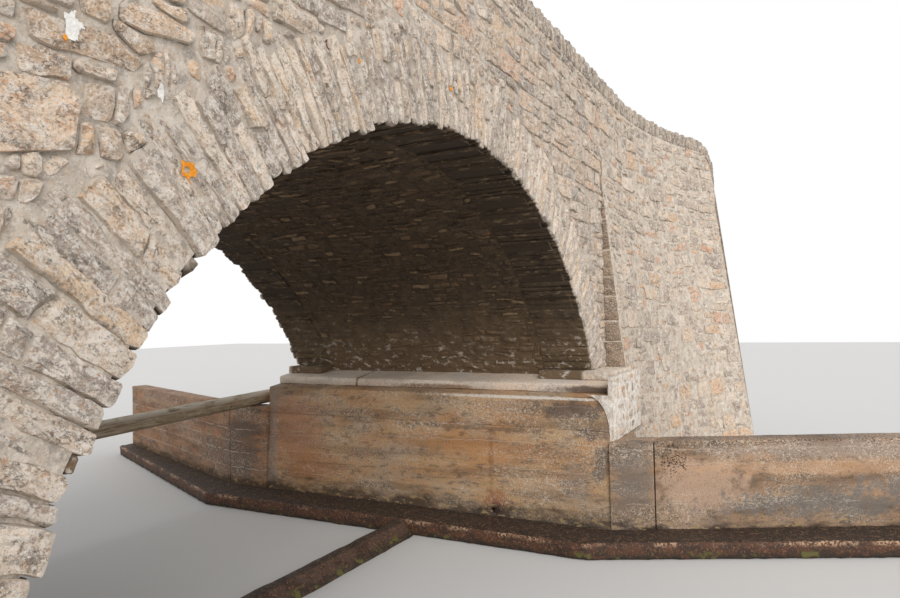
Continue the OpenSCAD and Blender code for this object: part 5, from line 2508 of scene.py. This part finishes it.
class Concrete:
    """Abutments, channel walls, footings and weir."""

    def build(self) -> None:
        """Builds the worn concrete of both sides."""
        for side in ("right", "left"):
            for lift in ("lower", "upper"):
                AgedCopy(f"abutment_{lift}_cast_{side}", f"abutment_{lift}_{side}", ABUTMENT_CONCRETE,
                         "abutment_concrete", arris=0.008, spacing=(0.35, 0.16, 0.16), rough=0.005).build()
            AgedCopy(f"springer_course_cast_{side}", f"springer_course_{side}", SPRINGER_CONCRETE,
                     "abutment_concrete", arris=0.014, spacing=(0.15, 0.12, 0.30), rough=0.007).build()
            for end in ("near", "far"):
                finish = CHANNEL_CONCRETE if end == "near" else FAR_CONCRETE
                AgedCopy(f"return_cast_{end}_{side}", f"return_{end}_{side}", finish, "wall_concrete",
                         arris=0.007, spacing=(0.30, 0.16, 0.16), rough=0.004).build()
                AgedCopy(f"channel_wall_cast_{end}_{side}", f"channel_wall_{end}_{side}", finish,
                         "wall_concrete", arris=0.009, spacing=(0.16, 0.16, 0.16), rough=0.004).build()
                AgedCopy(f"pad_stone_{end}_{side}", f"pad_{end}_{side}", PAD_MORTAR, "pad_stone", arris=0.012,
                         spacing=(0.10, 0.10, 0.10), rough=0.006, grain=9.0).build()
            AgedCopy(f"footing_cast_{side}", f"footing_{side}", LEDGE, "footing_concrete", arris=0.030,
                     spacing=(0.14, 0.07, 0.10), rough=0.012, grain=9.0).build()
        AgedCopy("weir_cast", "weir_sill", SILL, "footing_concrete", arris=0.015,
                 spacing=(0.10, 0.10, 0.10), rough=0.008).build()


class Core:
    """What carries the stones: the CAD walls as mortar, the vault's back, the fill, the road and the pipe."""

    def build(self) -> None:
        """Dresses the carried-over nodes."""
        walls = [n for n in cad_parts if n.startswith(("spandrel_", "parapet_"))
                 or (n.startswith("wing_") and "coping" not in n)]
        dressed = {name: WING_MORTAR if name.startswith("wing_") else WALL_MORTAR for name in walls}
        dressed |= {"arch_barrel": SOFFIT_MORTAR, "rubble_fill": EARTH, "roadway": ROAD, "drain_pipe": RUST}
        for node, finish in dressed.items():
            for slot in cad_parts[node].material_slots:
                slot.material = finish.material()
            LOG.info("%s keeps its CAD shape", node)


@dataclass(frozen=True)
class Studio:
    """Pale floor, white background, soft light and the camera."""

    camera_at: tuple[float, float, float] = (-4.818, -4.602, 2.464)
    right: tuple[float, float, float] = (0.4641, -0.8855, -0.0199)
    up: tuple[float, float, float] = (-0.0176, -0.0317, 0.9993)
    lens: float = 27.563
    sky: float = 0.76
    sun: float = 2.0
    sun_angle: float = 45.0
    sun_from: tuple[float, float, float] = (-0.85, -0.75, 0.62)

    def build(self) -> None:
        """Sets up floor, world, lamp and camera."""
        self.floor()
        self.world()
        lamp = bpy.data.lights.new("soft_sun", "SUN")
        lamp.energy, lamp.angle = self.sun, math.radians(self.sun_angle)
        sun = bpy.data.objects.new("soft_sun", lamp)
        sun.matrix_world = Vector(self.sun_from).to_track_quat("Z", "Y").to_matrix().to_4x4()
        bpy.context.scene.collection.objects.link(sun)
        self.camera()
        bpy.context.scene.view_settings.view_transform = "Standard"

    def floor(self) -> None:
        """Lays the floor at the level of the bed."""
        bm = bmesh.new()
        bmesh.ops.create_grid(bm, x_segments=2, y_segments=2, size=60.0)
        mesh = bpy.data.meshes.new("floor")
        bm.to_mesh(mesh)
        bm.free()
        mesh.materials.append(FLOOR.material())
        floor = bpy.data.objects.new("floor", mesh)
        bpy.context.scene.collection.objects.link(floor)

    def world(self) -> None:
        """Makes the even sky, white to the camera."""
        world = bpy.data.worlds.new("studio")
        bpy.context.scene.world = world
        world.use_nodes = True
        tree = world.node_tree
        tree.nodes.clear()
        light = add_node(tree, "Background", {"Color": linear("#f4f6fa"), "Strength": self.sky})
        white = add_node(tree, "Background", {"Color": linear("#ffffff")})
        path = add_node(tree, "LightPath")
        seen = path.outputs["Is Camera Ray"]
        for kind in ("Is Glossy Ray", "Is Transmission Ray"):
            seen = add_node(tree, "Math", {0: seen, 1: path.outputs[kind]}, operation="MAXIMUM").outputs[0]
        mix = add_node(tree, "MixShader", {0: seen, 1: light.outputs[0], 2: white.outputs[0]})
        add_node(tree, "OutputWorld", {0: mix.outputs[0]})

    def camera(self) -> None:
        """Sets up the camera at the viewing angle of the reference."""
        data = bpy.data.cameras.new("camera")
        data.sensor_width, data.lens = 36.0, self.lens
        data.clip_start, data.clip_end = 0.05, 200.0
        right, up = Vector(self.right).normalized(), Vector(self.up).normalized()
        back = right.cross(up)
        camera = bpy.data.objects.new("camera", data)
        turn = Matrix((right, up, back)).transposed().to_4x4()
        camera.matrix_world = Matrix.Translation(self.camera_at) @ turn
        bpy.context.scene.collection.objects.link(camera)
        bpy.context.scene.camera = camera


def main() -> None:
    """Builds the whole scene in order."""
    logging.basicConfig(level=logging.INFO, format="%(message)s")
    noise.seed_set(NOISE_SEED)
    Studio().build()
    Core().build()
    for end in End:
        ring = FaceRing(end)
        ring.build()
        FaceWall(end, ring).build()
        Coping(end).build()
        for side in Side:
            Wing(side, end).build()
    Soffit().build()
    Concrete().build()
    Log().build()
    Apron().build()
    Lichens(LICHENS).build()


if __name__ == "__main__":
    main()
